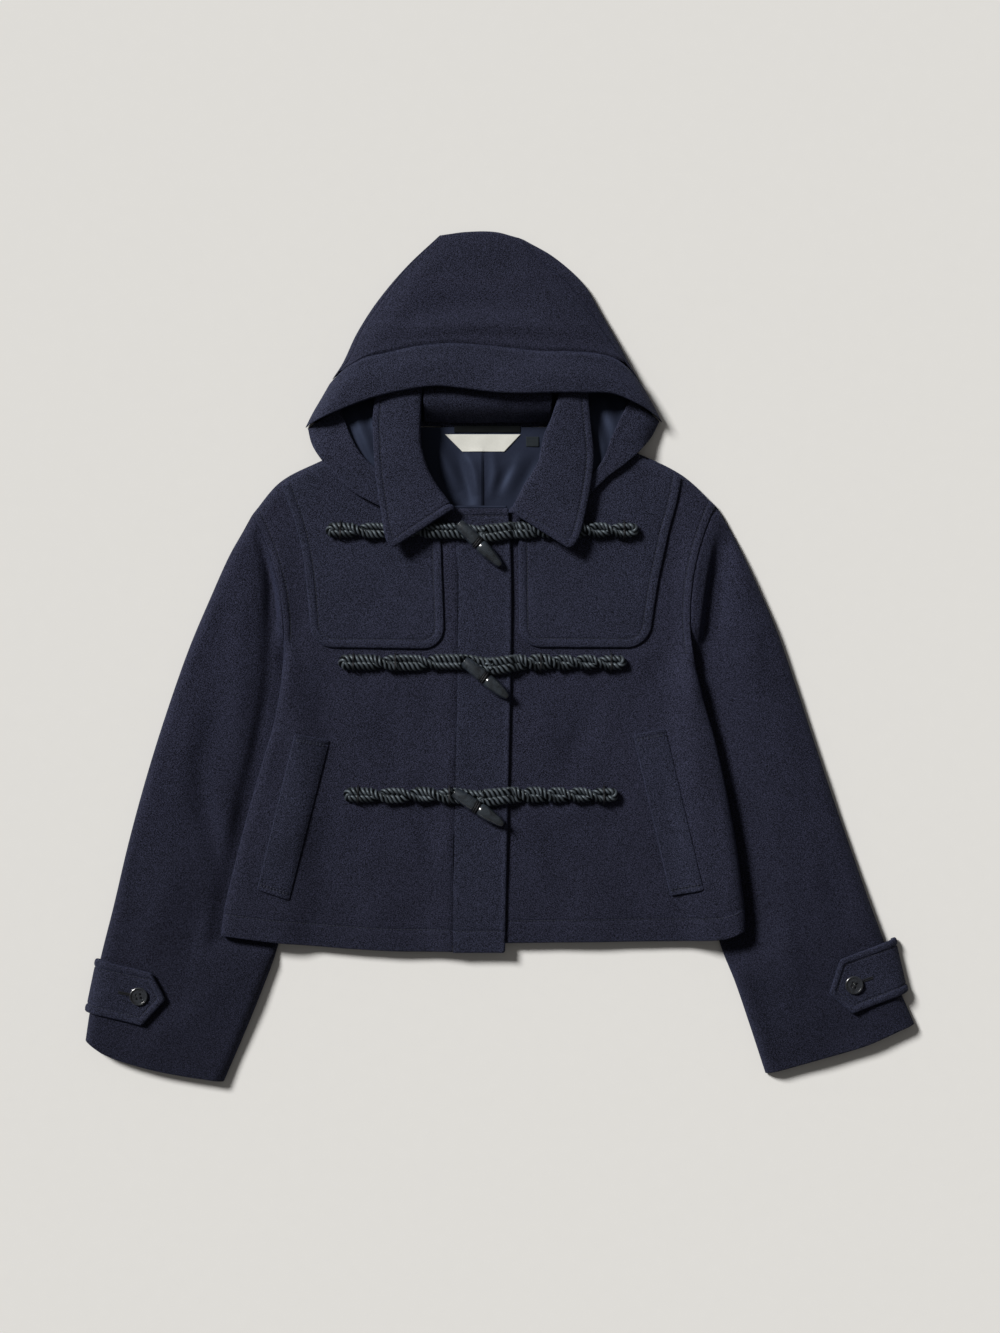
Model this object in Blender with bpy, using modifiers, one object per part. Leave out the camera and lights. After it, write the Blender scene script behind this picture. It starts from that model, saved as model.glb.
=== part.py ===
"""A duffle coat laid flat on its back, front up, with the hood laid out above the collar.

Millimetres are used in the tables below and turned into metres when a mesh is made.
X runs across the coat (the wearer's right side at -X, suffix _r, the left at +X, suffix _l),
Y runs up the coat from hem to hood, and Z rises from the surface that the coat rests on.
"""

import math
from itertools import accumulate

import bmesh
import bpy
from mathutils import Vector

for old in list(bpy.data.objects):
    bpy.data.objects.remove(old, do_unlink=True)

COAT = bpy.data.collections.new("duffle_coat")
CUTTERS = bpy.data.collections.new("cutters")
bpy.context.scene.collection.children.link(COAT)
bpy.context.scene.collection.children.link(CUTTERS)

MM = 0.001

# ---- finishes: colour, roughness --------------------------------------------------------
NAVY = ((0.012, 0.016, 0.036), 0.85)
LINING = ((0.03, 0.04, 0.075), 0.4)
BRAID = ((0.01, 0.02, 0.018), 0.6)
IVORY = ((0.72, 0.7, 0.58), 0.7)
HORN = ((0.012, 0.015, 0.02), 0.3)
ROPE = ((0.01, 0.012, 0.016), 0.55)

# ---- cloth and layers -------------------------------------------------------------------
WOOL = 2.5                # wall of a wool panel with what backs it
COLLAR_WALL = 3.0         # two layers of wool
RIM_PROUD = 0.8           # how far the thicker rim stands above the crown
RIM_WALL = 4.0            # the hood's edge, turned under and stitched
SATIN = 1.2               # lining
SEAM = 0.4                # clear width of a seam
REST = 0.6                # clear height of what rests on a panel whose folds its own rows miss
WELT_REST = 1.0           # the same under a welt, which crosses the slope of a lifted side
ARM_SEAM = 0.8            # clear width of an armhole seam, whose pieces curve differently
BODY_GAP = 8.0            # air between back and front in the middle of the coat
SIDE_GAP = 5.0            # the same air beside a lifted side seam
EDGE = 4.4                # top of an upper layer at a fold or side seam, above what it meets
BOW_FADE = 20             # how fast a sleeve's rows lose the bow of its ends
FOLD_RADIUS = 13.0        # how far in from a fold the cloth reaches its full height
FOLD_START = 0.3          # keeps the cloth at its edge from standing upright
SLEEVE_HEIGHT = 15.0      # an empty sleeve lying free
SLEEVE_PRESSED = 9.0      # the same sleeve where the body lies on it
SLEEVE_EASE = 42.0        # how far beside the body a pressed sleeve recovers
SLEEVE_CLEAR = 9.0        # width beside the body where it stays pressed
LIFT_R = 10.4             # how far the tucked right sleeve lifts the body
LIFT_L = 15.0             # the same on the left, where the sleeve is fuller
LIFT_RAMP = 42.0          # how far past the tucked sleeve the back comes down to rest
LIFT_RUN = 60.0           # how far down the side seam the lift comes in
UNDERARM_EASE = 40.0      # height above the underarm where a sleeve is no longer pressed
LIFT_START = 34.0         # height above the underarm where it starts
PLACKET_RAISE = 3.2       # the right front rises this much to reach the placket
PLACKET_BLEND = 32.0       # how far beside the placket it starts to rise
PLACKET_SEAM_X = -51.5

# ---- side seams, from hem to underarm: height up the coat, place across, sleeve tucked under
SIDE_R = (
    # y, x, tuck
    (-325, -309, 64),
    (-305, -307, 64),
    (-273, -303, 64),
    (-223, -291, 60),
    (-172, -278, 52),
    (-116, -262, 36),
    (-72, -249, 16),
    (-33, -242, 4),
    (2, -239, 0),
)
SIDE_L = (
    # y, x, tuck
    (-325, 266, 30),
    (-300, 266, 30),
    (-278, 266, 31),
    (-245, 262, 33),
    (-195, 255, 33),
    (-147, 246, 29),
    (-89, 233, 17),
    (-48, 221, 8),
    (-13, 213, 0),
)

# ---- armholes: a chord from underarm to shoulder point, bowed in towards the body
ARMHOLE_R = {"underarm": (-239, 2), "shoulder": (-273, 157), "bow": 11.5}
ARMHOLE_L = {"underarm": (213, -13), "shoulder": (235, 166), "bow": -15.5}

# ---- shoulder lines, from the sleeve to the neck point: x, y
SHOULDER_R = ((-273, 157), (-243, 192), (-201, 214), (-160, 231), (-116, 250))
SHOULDER_L = ((235, 166), (199, 199), (151, 223), (113, 237), (76, 250))

# ---- centre edges, from hem to neck point: x, y
CENTRE_R = ((-53.5, -323), (-53, -229), (-50.5, -119), (-48.5, 2), (-48.5, 125), (-52, 156),
            (-71, 175), (-98, 206), (-116, 250))
CENTRE_L = ((-39, -315), (-38, -174), (-36, -36), (-35, 88), (-33, 128), (2, 156),
            (34, 174), (60, 204), (76, 250))
HEM_R = ((-307, -305), (-241, -313.5), (-129, -322), (-53.5, -323))
HEM_L = ((266, -300), (241, -309), (134, -312), (13, -313.5), (-39, -315))
HEM_BACK = ((-307, -303), (-241, -311), (-129, -318), (13, -311), (134, -309), (266, -298))

PLACKET_ROWS = (
    # y, seam x, free edge x
    (-324, -53, 4),
    (-229, -52.5, 6),
    (-139, -50, 8),
    (-48, -48, 10),
    (13, -48, 11),
    (98, -48, 11),
    (163, -51, 8),
)

# ---- sleeves, from the armhole to the cuff: x, y
SLEEVE_R = {
    "outer": ((-273, 157), (-283, 139), (-299, 111), (-318, 69), (-343, 10), (-367, -58),
              (-389, -128), (-409, -201), (-426, -273), (-441, -333), (-452, -388), (-457, -421)),
    "inner": ((-240.5, -1), (-240, -26), (-238, -50), (-234, -76), (-225, -122), (-226, -174), (-230, -226),
              (-237, -278), (-247, -322), (-263, -366), (-283, -415), (-305, -466)),
    "cuff": ((-305, -466), (-360, -457.5), (-397, -449), (-434, -436.5), (-457, -421)),
    "folds": (
        # x0, y0, x1, y1, height, half width
        (-261, 120, -265, 0, -4.5, 15),
        (-265, 0, -288, -170, -3.5, 16),
        (-290, 70, -296, -40, 2.5, 18),
        (-330, -40, -350, -160, 2.5, 26),
        (-322, -140, -306, -250, -2.5, 20),
        (-310, -270, -345, -340, -2.5, 22),
    ),
}
SLEEVE_L = {
    "outer": ((235, 166), (243, 154), (261, 121), (281, 79), (303, 28), (323, -30), (345, -97),
              (366, -160), (387, -220), (405, -271), (422, -317), (437, -361), (457, -404)),
    "inner": ((214, -16), (213.5, -40), (214.5, -66), (216.5, -96), (217, -131), (222, -174),
              (227, -223), (233, -267), (239, -311), (257, -358), (271, -399), (290, -457)),
    "cuff": ((290, -457), (307, -453), (346, -442), (400, -426), (446, -408), (457, -404)),
    "folds": (
        # x0, y0, x1, y1, height, half width
        (224, 130, 226, 10, -4.5, 14),
        (256, 80, 268, -60, 2.5, 22),
        (250, -120, 280, -250, -3.0, 24),
        (322, -150, 346, -260, 2.5, 26),
    ),
}

# ---- the largest soft folds of the fronts
BODY_FOLDS = (
    # x0, y0, x1, y1, height, half width
    (-190, -20, -170, -200, 1.5, 45),
    (150, -30, 170, -210, 1.5, 45),
    (-230, 60, -215, -60, -1.5, 22),
    (190, 60, 196, -60, -1.5, 20),
    (90, -230, 110, -318, 1.5, 40),
    (-130, -240, -150, -322, 1.2, 40),
)

# ---- chest yokes: outer edge and inner edge from the shoulder down, then the lower edge
YOKE_R = {
    "top": ((-241, 189), (-201, 211), (-160, 228), (-121, 244)),
    "outer": ((-241, 189), (-233, 167), (-225, 143), (-218, 114), (-214, 85), (-211, 54), (-209, 38)),
    "inner": ((-121, 244), (-106, 206), (-84, 173), (-68, 134), (-65, 90), (-63.5, 52), (-63, 38)),
    "lower": ((-209, 38), (-203, 22), (-187, 12), (-135, 9), (-79, 9), (-66, 18), (-63, 38)),
}
YOKE_L = {
    "top": ((197, 196), (151, 220), (113, 234), (80, 245)),
    "outer": ((197, 196), (192, 169), (184, 140), (178, 112), (172, 84), (167, 52), (164, 37)),
    "inner": ((80, 245), (64, 206), (42, 173), (20, 134), (19, 98), (19, 63), (19.5, 41)),
    "lower": ((164, 37), (158, 20), (143, 11), (95, 10), (47, 11), (29, 21), (19.5, 41)),
}

# ---- hood, seen from above: x, y
HOOD_TOP = ((-68, 463), (-39, 467), (-7, 467), (25, 458))
HOOD_OUTLINE_R = ((-185.5, 305), (-174, 323), (-159, 355), (-136, 391), (-104, 429), (-68, 463))
HOOD_OUTLINE_L = ((151.5, 303), (145, 313.5), (128, 345), (108, 380), (90, 410), (58, 439), (25, 458))
RIM_END_R = ((-215, 252), (-207, 268), (-197, 285), (-189, 299))
RIM_END_L = ((176, 258), (170, 270), (163, 283), (154.5, 298))
RIM_EDGE = ((-215, 252), (-168, 272), (-136, 283), (-104, 290), (-72, 294), (-39, 291), (-7, 287),
            (25, 286), (58, 287), (90, 287), (122, 286), (153, 273), (176, 258))
RIM_SEAM = ((-189, 299), (-172, 314), (-149, 326), (-126, 331), (-94, 338), (-52, 341.5), (-7, 338),
            (41, 333), (90, 332), (122, 326), (138, 316), (154.5, 298))
CROWN_SEAM_R = ((-177, 313), (-165, 328), (-152, 359), (-126, 397), (-104, 426), (-66, 461))
CROWN_SEAM_L = ((135, 322), (127, 334), (112, 354), (93, 384), (73, 409), (46, 432), (16, 457))
RIM_CLEAR = 1.6           # the crown and side panels start this far above the rim's seam
HOOD_RISE = 15.0          # height of the hood near its top
HOOD_EDGE = 3.6           # top of its upper layer at the outline
RIM_RISE = 42.0           # height of the rim over the neck
CORNER_RISE = 28.0        # height of the rim beside its corners

# ---- hood sides where they come down to the neck, from the rim corner: fold, then inner edge
FLANK_R = (
    # outer x, y, z, inner x, y, z
    (-210, 252, 5, -178, 267, 18),
    (-208, 232, 6, -170, 255, 20),
    (-199, 217, 19, -162, 236, 22),
    (-180, 195, 21.5, -152, 220, 23),
    (-159, 178, 21.5, -136, 206, 23),
    (-128, 162, 21.5, -114, 192, 22.5),
)
FLANK_L = (
    # outer x, y, z, inner x, y, z
    (171, 256, 5, 139, 269, 18),
    (164, 240, 6, 128, 257, 20),
    (153, 226, 19, 119, 237, 22),
    (133, 209, 21.5, 113, 220, 23),
    (115, 195, 21.5, 104, 206, 23),
    (92, 173, 21.5, 86, 189, 22.5),
)
HOOD_LINING_R = (
    # outer x, y, z, inner x, y, z
    (-172, 286, 8, -128, 296, 6.5),
    (-168, 256, 16.5, -128, 268, 13),
    (-156, 231, 19, -127, 243, 18),
    (-142, 211, 19.3, -125, 222, 19.2),
    (-130, 199, 19.9, -119, 208, 19.5),
)
HOOD_LINING_L = (
    # outer x, y, z, inner x, y, z
    (134, 286, 8, 90, 294, 6.5),
    (126, 256, 16.5, 90, 266, 13),
    (113, 232, 19, 88, 243, 18),
    (107, 212, 19.3, 86, 222, 19.2),
    (98, 196, 19.9, 80, 206, 19.5),
)

# ---- collar leaves from the front end to the back of the neck
COLLAR_R = (
    # foot x, y, z, roll x, y, z, edge x, y, z
    (-60, 160, 16.2, -50, 160, 29, -118.5, 118, 34),
    (-69, 169, 16.0, -57, 170, 30, -126, 128, 33),
    (-82, 181, 15.7, -68, 185, 31, -132, 160, 29),
    (-102, 205, 15.4, -80, 206, 32, -137.5, 196, 28),
    (-113, 229, 15.4, -87, 233, 33, -140, 230, 28),
    (-115, 254, 15, -87, 262, 33, -141, 261, 28),
    (-112, 286, 15, -85, 300, 32, -136, 300, 26),
)
COLLAR_L = (
    # foot x, y, z, roll x, y, z, edge x, y, z
    (16, 157, 16.8, 7, 158, 29, 75, 117, 34),
    (27, 164, 16.5, 14, 168, 30, 84, 129, 33),
    (42, 176, 16.5, 25, 189, 31, 92, 158, 29),
    (64, 203, 16.5, 40, 213, 32, 98, 190, 28),
    (74, 228, 16.5, 45, 239, 33, 101, 220, 28),
    (76, 254, 15, 54, 262, 33, 98, 254, 28),
    (74, 286, 15, 66, 300, 32, 94, 300, 26),
)
COLLAR_ROLL = 4.0         # radius of the collar's fold
COLLAR_SWELL = 1.5        # how far a leaf arches between roll and edge
COLLAR_BACK = (
    # y, z of the stand's face from the neck seam up and over
    (257, 4.8),
    (263, 16),
    (273, 27),
    (284, 31),
    (296, 28),
    (306, 20),
)
COLLAR_BACK_X = (-82, 52)

# ---- neck: lining, hanger, label and size tab lie on the inside of the back
NECK_LINING = {"x": (-112, 72), "y": (112, 249), "pleat_x": -20.5, "pleat_height": 3.0, "pleat_half": 15.0,
               "pleat_top": 205}
HANGER = {"x": (-52, 21), "y": (246.5, 254)}
LABEL = {"top_x": (-62, 21), "top_y": 244.5, "foot_x": (-43, 3), "foot_y": 225.5}
SIZE_TAB = {"x": (27, 41), "y": (231, 242)}
TAPE = 0.8                # thickness of label and tapes

# ---- welt pockets: corners x, y
WELT_R = ((-226, -84), (-188, -91), (-232, -266), (-267, -254))
WELT_L = ((144, -85), (179, -78), (220.5, -255), (185, -262))
WELT_WALL = 2.2

# ---- cuff tabs: the end at the sleeve's fold, the two shoulders and the point
TAB_R = {
    "outer": ((-452, -393), (-440, -336)),
    "shoulders": ((-393, -405), (-383, -348)),
    "point": (-367, -376),
}
TAB_L = {
    "outer": ((446, -372), (430.5, -312)),
    "shoulders": ((389, -393), (373, -337)),
    "point": (363.5, -370),
}
TAB_WALL = 2.2
BUTTON_R = (-396.5, -373)
BUTTON_L = (387.5, -363)
BUTTON_RADIUS = 9.8
BUTTON_HEIGHT = 3.2
BUTTON_HOLE = 1.1          # radius of one of its four holes
BUTTON_HOLE_RADIUS = 2.7   # from the middle of the button to the middle of a hole
BUTTON_REACH = 1.9        # the button's own reach, in steps of the reach below

# ---- closures: rope ends and toggle ends
CLOSURES = (
    # y, outer x of the right rope, outer x of the left rope, toggle head x, y, toggle tip x, y
    (138.5, -188, 146, -47, 146, -1, 100),
    (-6, -174, 133, -41, -4, 7, -44),
    (-151, -169, 124, -52, -147, 2, -183),
)
CORD = 8.4                # one cord of a doubled rope
ROPE_HALF = 8.6           # half the width of the doubled rope
ROPE_WAIST = 5.6          # half its width where the cords cross
ROPE_ROWS = 12            # facets along a rope, and around it
ROPE_SIDES = 10
ROPE_PITCH = 46.0         # distance from one crossing of the cords to the next
ROPE_CROSSED = 11.5       # height where one cord lies on the other
TOGGLE_RADIUS = 7.2
TOGGLE_WAIST_SHARE = 0.46  # where along it the waist is
TOGGLE_WAIST = 4.6        # radius there
LOOP_RADIUS = 2.2         # the rope where it is drawn round a toggle's waist
TOGGLE_RISE = 9.6         # height of a toggle's middle above the placket

# ---- how far around a point a layer looks for what it rests on
REACH = ((0, 0), (7, 0), (-7, 0), (0, 7), (0, -7))


# ---- curves and surfaces ----------------------------------------------------------------
def smooth(t):
    t = min(max(t, 0.0), 1.0)
    return t * t * (3.0 - 2.0 * t)


def rounded(distance, radius):
    """Rises like a quarter circle from 0 at a fold to 1 at the radius."""
    t = 1.0 - min(max(distance / radius, 0.0), 1.0)
    return math.sqrt(1.0 - t * t)


def column(rows, value, index):
    """Reads one column of a table at a value of its first column."""
    if value <= rows[0][0]:
        return rows[0][index]
    for low, high in zip(rows, rows[1:]):
        if value <= high[0]:
            t = (value - low[0]) / (high[0] - low[0])
            return low[index] + (high[index] - low[index]) * t
    return rows[-1][index]


def curve(points):
    """A smooth line through the points, as a function of the share of its length."""
    knots = [Vector(p).to_3d() if len(p) == 2 else Vector(p) for p in points]
    steps = list(accumulate(((b - a).length for a, b in zip(knots, knots[1:])), initial=0.0))

    def at(share):
        place = share * steps[-1]
        k = max(i for i in range(len(knots) - 1) if steps[i] <= place or i == 0)
        span = steps[k + 1] - steps[k]
        t = (place - steps[k]) / span
        a, b = knots[k], knots[k + 1]
        rise_a = (b - knots[k - 1]) / (steps[k + 1] - steps[k - 1]) if k else (b - a) / span
        rise_b = (knots[k + 2] - a) / (steps[k + 2] - steps[k]) if k + 2 < len(knots) else (b - a) / span
        return (a * (2 * t ** 3 - 3 * t ** 2 + 1) + b * (3 * t ** 2 - 2 * t ** 3)
                + rise_a * span * (t ** 3 - 2 * t ** 2 + t) + rise_b * span * (t ** 3 - t ** 2))

    return at


def bent(points):
    """A line with sharp corners, whose points lie at even shares."""
    knots = [Vector(p).to_3d() if len(p) == 2 else Vector(p) for p in points]

    def at(share):
        place = share * (len(knots) - 1)
        k = min(int(place), len(knots) - 2)
        return knots[k].lerp(knots[k + 1], place - k)

    return at


def patch(left, right, low, high):
    """The surface between four edges: left and right run upwards, low and high run rightwards."""
    a, b, c, d = left(0), right(0), left(1), right(1)

    def at(u, v):
        across = left(v).lerp(right(v), u)
        along = low(u).lerp(high(u), v)
        return across + along - a.lerp(b, u).lerp(c.lerp(d, u), v)

    return at


def both_ends(t):
    """Places the rows of a surface closer together at both of its edges."""
    return 0.5 - 0.5 * math.cos(math.pi * t)


def first_end(t):
    return 1.0 - math.cos(0.5 * math.pi * t)


def last_end(t):
    return math.sin(0.5 * math.pi * t)


def even(t):
    return t


# ---- heights ----------------------------------------------------------------------------
def fold_sum(folds, x, y):
    """Height that the soft ridges and troughs of a table add at a place."""
    total = 0.0
    place = Vector((x, y))
    for x0, y0, x1, y1, height, half in folds:
        start, run = Vector((x0, y0)), Vector((x1 - x0, y1 - y0))
        share = min(max((place - start).dot(run) / run.length_squared, 0.0), 1.0)
        distance = (place - start - run * share).length
        total += height * smooth(1.0 - distance / (1.8 * half))
    return total


def beside(side, x, y):
    """Distance in from the side seam towards the middle of the coat."""
    rows = SIDE_R if side < 0 else SIDE_L
    return (x - column(rows, y, 1)) * -side


def lift(x, y):
    """How far the tucked sleeves lift the back off the surface."""
    side = -1 if x < 0 else 1
    rows = SIDE_R if side < 0 else SIDE_L
    underarm = rows[-1][0]
    past = beside(side, x, y) - column(rows, y, 2)
    most = LIFT_R if side < 0 else LIFT_L
    return most * smooth(1.0 - past / LIFT_RAMP) * smooth((underarm + LIFT_START - y) / LIFT_RUN)


def outline_distance(line, x, y):
    """Distance to a line given by its points."""
    place = Vector((x, y))
    nearest = 1000.0
    for a, b in zip(line, line[1:]):
        run = Vector(b) - Vector(a)
        share = min(max((place - Vector(a)).dot(run) / run.length_squared, 0.0), 1.0)
        nearest = min(nearest, (place - Vector(a) - run * share).length)
    return nearest


def front_top(x, y):
    """Outer face of the fronts."""
    side = -1 if x < 0 else 1
    underarm = (SIDE_R if side < 0 else SIDE_L)[-1][0]
    raised = lift(x, y)
    gap = BODY_GAP + (SIDE_GAP - BODY_GAP) * raised / (LIFT_R if side < 0 else LIFT_L)
    full = raised + 2 * WOOL + gap + fold_sum(BODY_FOLDS, x, y)
    seam_side = rounded(beside(side, x, y) + FOLD_START, FOLD_RADIUS)
    seam_side += (1.0 - seam_side) * smooth((y - underarm) / 26.0)
    shoulder = outline_distance(SHOULDER_R if side < 0 else SHOULDER_L, x, y)
    edge = raised + EDGE
    level = edge + (full - edge) * seam_side * rounded(shoulder + FOLD_START, FOLD_RADIUS)
    if x < PLACKET_SEAM_X + 4.0:
        level += PLACKET_RAISE * smooth(1.0 - (PLACKET_SEAM_X - x) / PLACKET_BLEND)
    return level


def sleeve_top(side, table, x, y):
    """Outer face of a sleeve's upper layer."""
    covered = 1.0 - smooth((-beside(side, x, y) - SLEEVE_CLEAR) / SLEEVE_EASE)
    hem = column(HEM_R if side < 0 else reverse(HEM_L), x, 1)
    covered *= 1.0 - smooth((hem - y - SLEEVE_CLEAR) / SLEEVE_EASE)
    covered *= smooth((UNDERARM_EASE - y) / UNDERARM_EASE)
    full = SLEEVE_HEIGHT + (SLEEVE_PRESSED - SLEEVE_HEIGHT) * covered
    full += fold_sum(table["folds"], x, y) * (1.0 - covered)
    shape = rounded(outline_distance(table["inner"], x, y) + FOLD_START, FOLD_RADIUS)
    shape *= rounded(outline_distance(table["outer"], x, y) + FOLD_START, FOLD_RADIUS)
    return EDGE + (full - EDGE) * shape


HOOD_OUTLINE = (RIM_END_R + HOOD_OUTLINE_R + HOOD_TOP[1:-1] + tuple(reversed(HOOD_OUTLINE_L))
                + tuple(reversed(RIM_END_L)))


def hood_top(x, y):
    """Outer face of the hood's upper layer."""
    middle = 0.5 * (RIM_END_R[0][0] + RIM_END_L[0][0])
    half = 0.5 * (RIM_END_L[0][0] - RIM_END_R[0][0])
    over_neck = smooth(1.15 - abs(x - middle) / half)
    rim = CORNER_RISE + (RIM_RISE - CORNER_RISE) * over_neck
    up = smooth((y - 270.0) / 190.0)
    radius = 20.0 + 26.0 * up
    full = rim + (HOOD_RISE - rim) * up
    shape = rounded(outline_distance(HOOD_OUTLINE, x, y) + FOLD_START, radius)
    return HOOD_EDGE + (full - HOOD_EDGE) * shape


# ---- making objects ---------------------------------------------------------------------
def material(name, colour, roughness, metallic=0.0):
    made = bpy.data.materials.new(name)
    made.use_nodes = True
    shader = made.node_tree.nodes["Principled BSDF"]
    shader.inputs["Base Color"].default_value = (*colour, 1.0)
    shader.inputs["Roughness"].default_value = roughness
    shader.inputs["Metallic"].default_value = metallic
    return made


def add_object(name, bm, finish, collection):
    mesh = bpy.data.meshes.new(name)
    bm.to_mesh(mesh)
    bm.free()
    made = bpy.data.objects.new(name, mesh)
    made.data.materials.append(material(name, *finish))
    collection.objects.link(made)
    mesh.shade_smooth()
    mesh.set_sharp_from_angle(angle=math.radians(40))
    return made


def sheet(name, surface, columns, rows, wall, finish, spacing=(even, even)):
    """A cloth panel: a grid laid on a surface, with its wall below the face."""
    bm = bmesh.new()
    bmesh.ops.create_grid(bm, x_segments=columns, y_segments=rows, size=0.5)
    for vert in bm.verts:
        u, v = spacing[0](vert.co.x + 0.5), spacing[1](vert.co.y + 0.5)
        vert.co = surface(u, v) * MM
    made = add_object(name, bm, finish, COAT)
    thick = made.modifiers.new("wall", "SOLIDIFY")
    thick.thickness = wall * MM
    thick.offset = -1.0
    return made


def on_height(plan, height):
    """Lays a plan surface on a height function."""

    def at(u, v):
        p = plan(u, v)
        return Vector((p.x, p.y, height(p.x, p.y)))

    return at


def cover(height, wall, rest=REST):
    """Height of a piece that lies on a surface, clear of the highest place around each point."""

    def at(x, y):
        return max(height(x + dx, y + dy) for dx, dy in REACH) + rest + wall

    return at


def reverse(points):
    return tuple(reversed(points))


# ---- body -------------------------------------------------------------------------------
def armhole_curve(hole, inset, tip_inset=0.0):
    """The armhole from underarm to shoulder, moved in towards the body, with more at its ends."""
    start, end = Vector(hole["underarm"]).to_3d(), Vector(hole["shoulder"]).to_3d()
    inward = Vector((math.copysign(1.0, hole["bow"]), 0.0, 0.0))

    def at(share):
        moved = inset + tip_inset * smooth(abs(2.0 * share - 1.0) / 0.4 - 1.5)
        return start.lerp(end, share) + inward * (abs(hole["bow"]) * 4 * share * (1 - share) + moved)

    return at


def side_curve(rows, hole, inset):
    """Side seam and armhole in one edge, from the hem up."""
    seam = curve([(x + math.copysign(inset, hole["bow"]), y) for y, x, _ in rows[1:]])
    arm = armhole_curve(hole, inset)
    seam_share = (rows[-1][0] - rows[1][0]) / (hole["shoulder"][1] - rows[1][0])

    def at(share):
        if share < seam_share:
            return seam(share / seam_share)
        return arm((share - seam_share) / (1.0 - seam_share))

    return at


def body_panels():
    edge_r = side_curve(SIDE_R, ARMHOLE_R, 0.0)
    edge_l = side_curve(SIDE_L, ARMHOLE_L, 0.0)
    shoulder_r, shoulder_l = curve(SHOULDER_R), curve(SHOULDER_L)

    front_r = patch(edge_r, curve(CENTRE_R), curve(HEM_R), shoulder_r)
    sheet("front_r", on_height(front_r, front_top), 12, 15, WOOL, NAVY, (first_end, last_end))

    centre_l, hem_l = curve(CENTRE_L), curve(reverse(HEM_L))
    front_l = patch(centre_l, edge_l, hem_l, curve(reverse(SHOULDER_L)))
    sheet("front_l", on_height(front_l, front_top), 12, 15, WOOL, NAVY, (last_end, last_end))

    neck = curve(((-116, 250), (-20, 250), (76, 250)))
    shares = (0.42, 0.58)

    def back_high(share):
        if share < shares[0]:
            return shoulder_r(share / shares[0])
        if share > shares[1]:
            return shoulder_l((1.0 - share) / (1.0 - shares[1]))
        return neck((share - shares[0]) / (shares[1] - shares[0]))

    back = patch(edge_r, edge_l, curve(HEM_BACK), back_high)
    sheet("back", on_height(back, lambda x, y: lift(x, y) + WOOL), 20, 15, WOOL, NAVY,
          (both_ends, last_end))


def placket_top(x, y):
    return BODY_GAP + 2 * WOOL + fold_sum(BODY_FOLDS, x, y) + SEAM + COLLAR_WALL


def placket():
    seam = curve([(x, y) for y, x, _ in PLACKET_ROWS])
    free = curve([(x, y) for y, _, x in PLACKET_ROWS])
    low = curve([(PLACKET_ROWS[0][1], PLACKET_ROWS[0][0]), (PLACKET_ROWS[0][2], PLACKET_ROWS[0][0])])
    high = curve([(PLACKET_ROWS[-1][1], PLACKET_ROWS[-1][0]), (PLACKET_ROWS[-1][2], PLACKET_ROWS[-1][0])])
    plan = patch(seam, free, low, high)

    def shifted(u, v):
        return plan(u, v) + Vector(((1.0 - u) * 1.2, 0.0, 0.0))

    sheet("placket", on_height(shifted, placket_top), 2, 12, COLLAR_WALL, NAVY)


def yoke(name, table):
    outer, inner = curve(reverse(table["outer"])), curve(reverse(table["inner"]))
    plan = patch(outer, inner, curve(table["lower"]), curve(table["top"]))
    if table["outer"][0][0] > 0:
        plan = patch(inner, outer, curve(reverse(table["lower"])), curve(reverse(table["top"])))
    sheet(name, on_height(plan, cover(front_top, WOOL)), 8, 9, WOOL, NAVY, (both_ends, both_ends))


# ---- sleeves ----------------------------------------------------------------------------
def sleeve(suffix, side, table, hole):
    outer, inner = curve(reverse(table["outer"])), curve(reverse(table["inner"]))
    cuff = curve(table["cuff"])
    arm = armhole_curve(hole, -ARM_SEAM, -WOOL)

    def plan(u, v):
        """Rows run straight from fold to fold, and take the bow of the armhole or cuff at the ends."""
        share = 1.0 - u if side < 0 else u
        row = inner(v).lerp(outer(v), share)
        arm_bow = arm(share) - inner(1).lerp(outer(1), share)
        cuff_bow = cuff(share) - inner(0).lerp(outer(0), share)
        return row + arm_bow * v ** BOW_FADE + cuff_bow * (1.0 - v) ** BOW_FADE

    def height(x, y):
        return sleeve_top(side, table, x, y)

    spacing = (both_ends, even)
    sheet("sleeve_top_" + suffix, on_height(plan, height), 10, 15, WOOL, NAVY, spacing)
    sheet("sleeve_under_" + suffix, on_height(plan, lambda x, y: WOOL), 4, 15, WOOL, NAVY, spacing)
    return height


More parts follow.
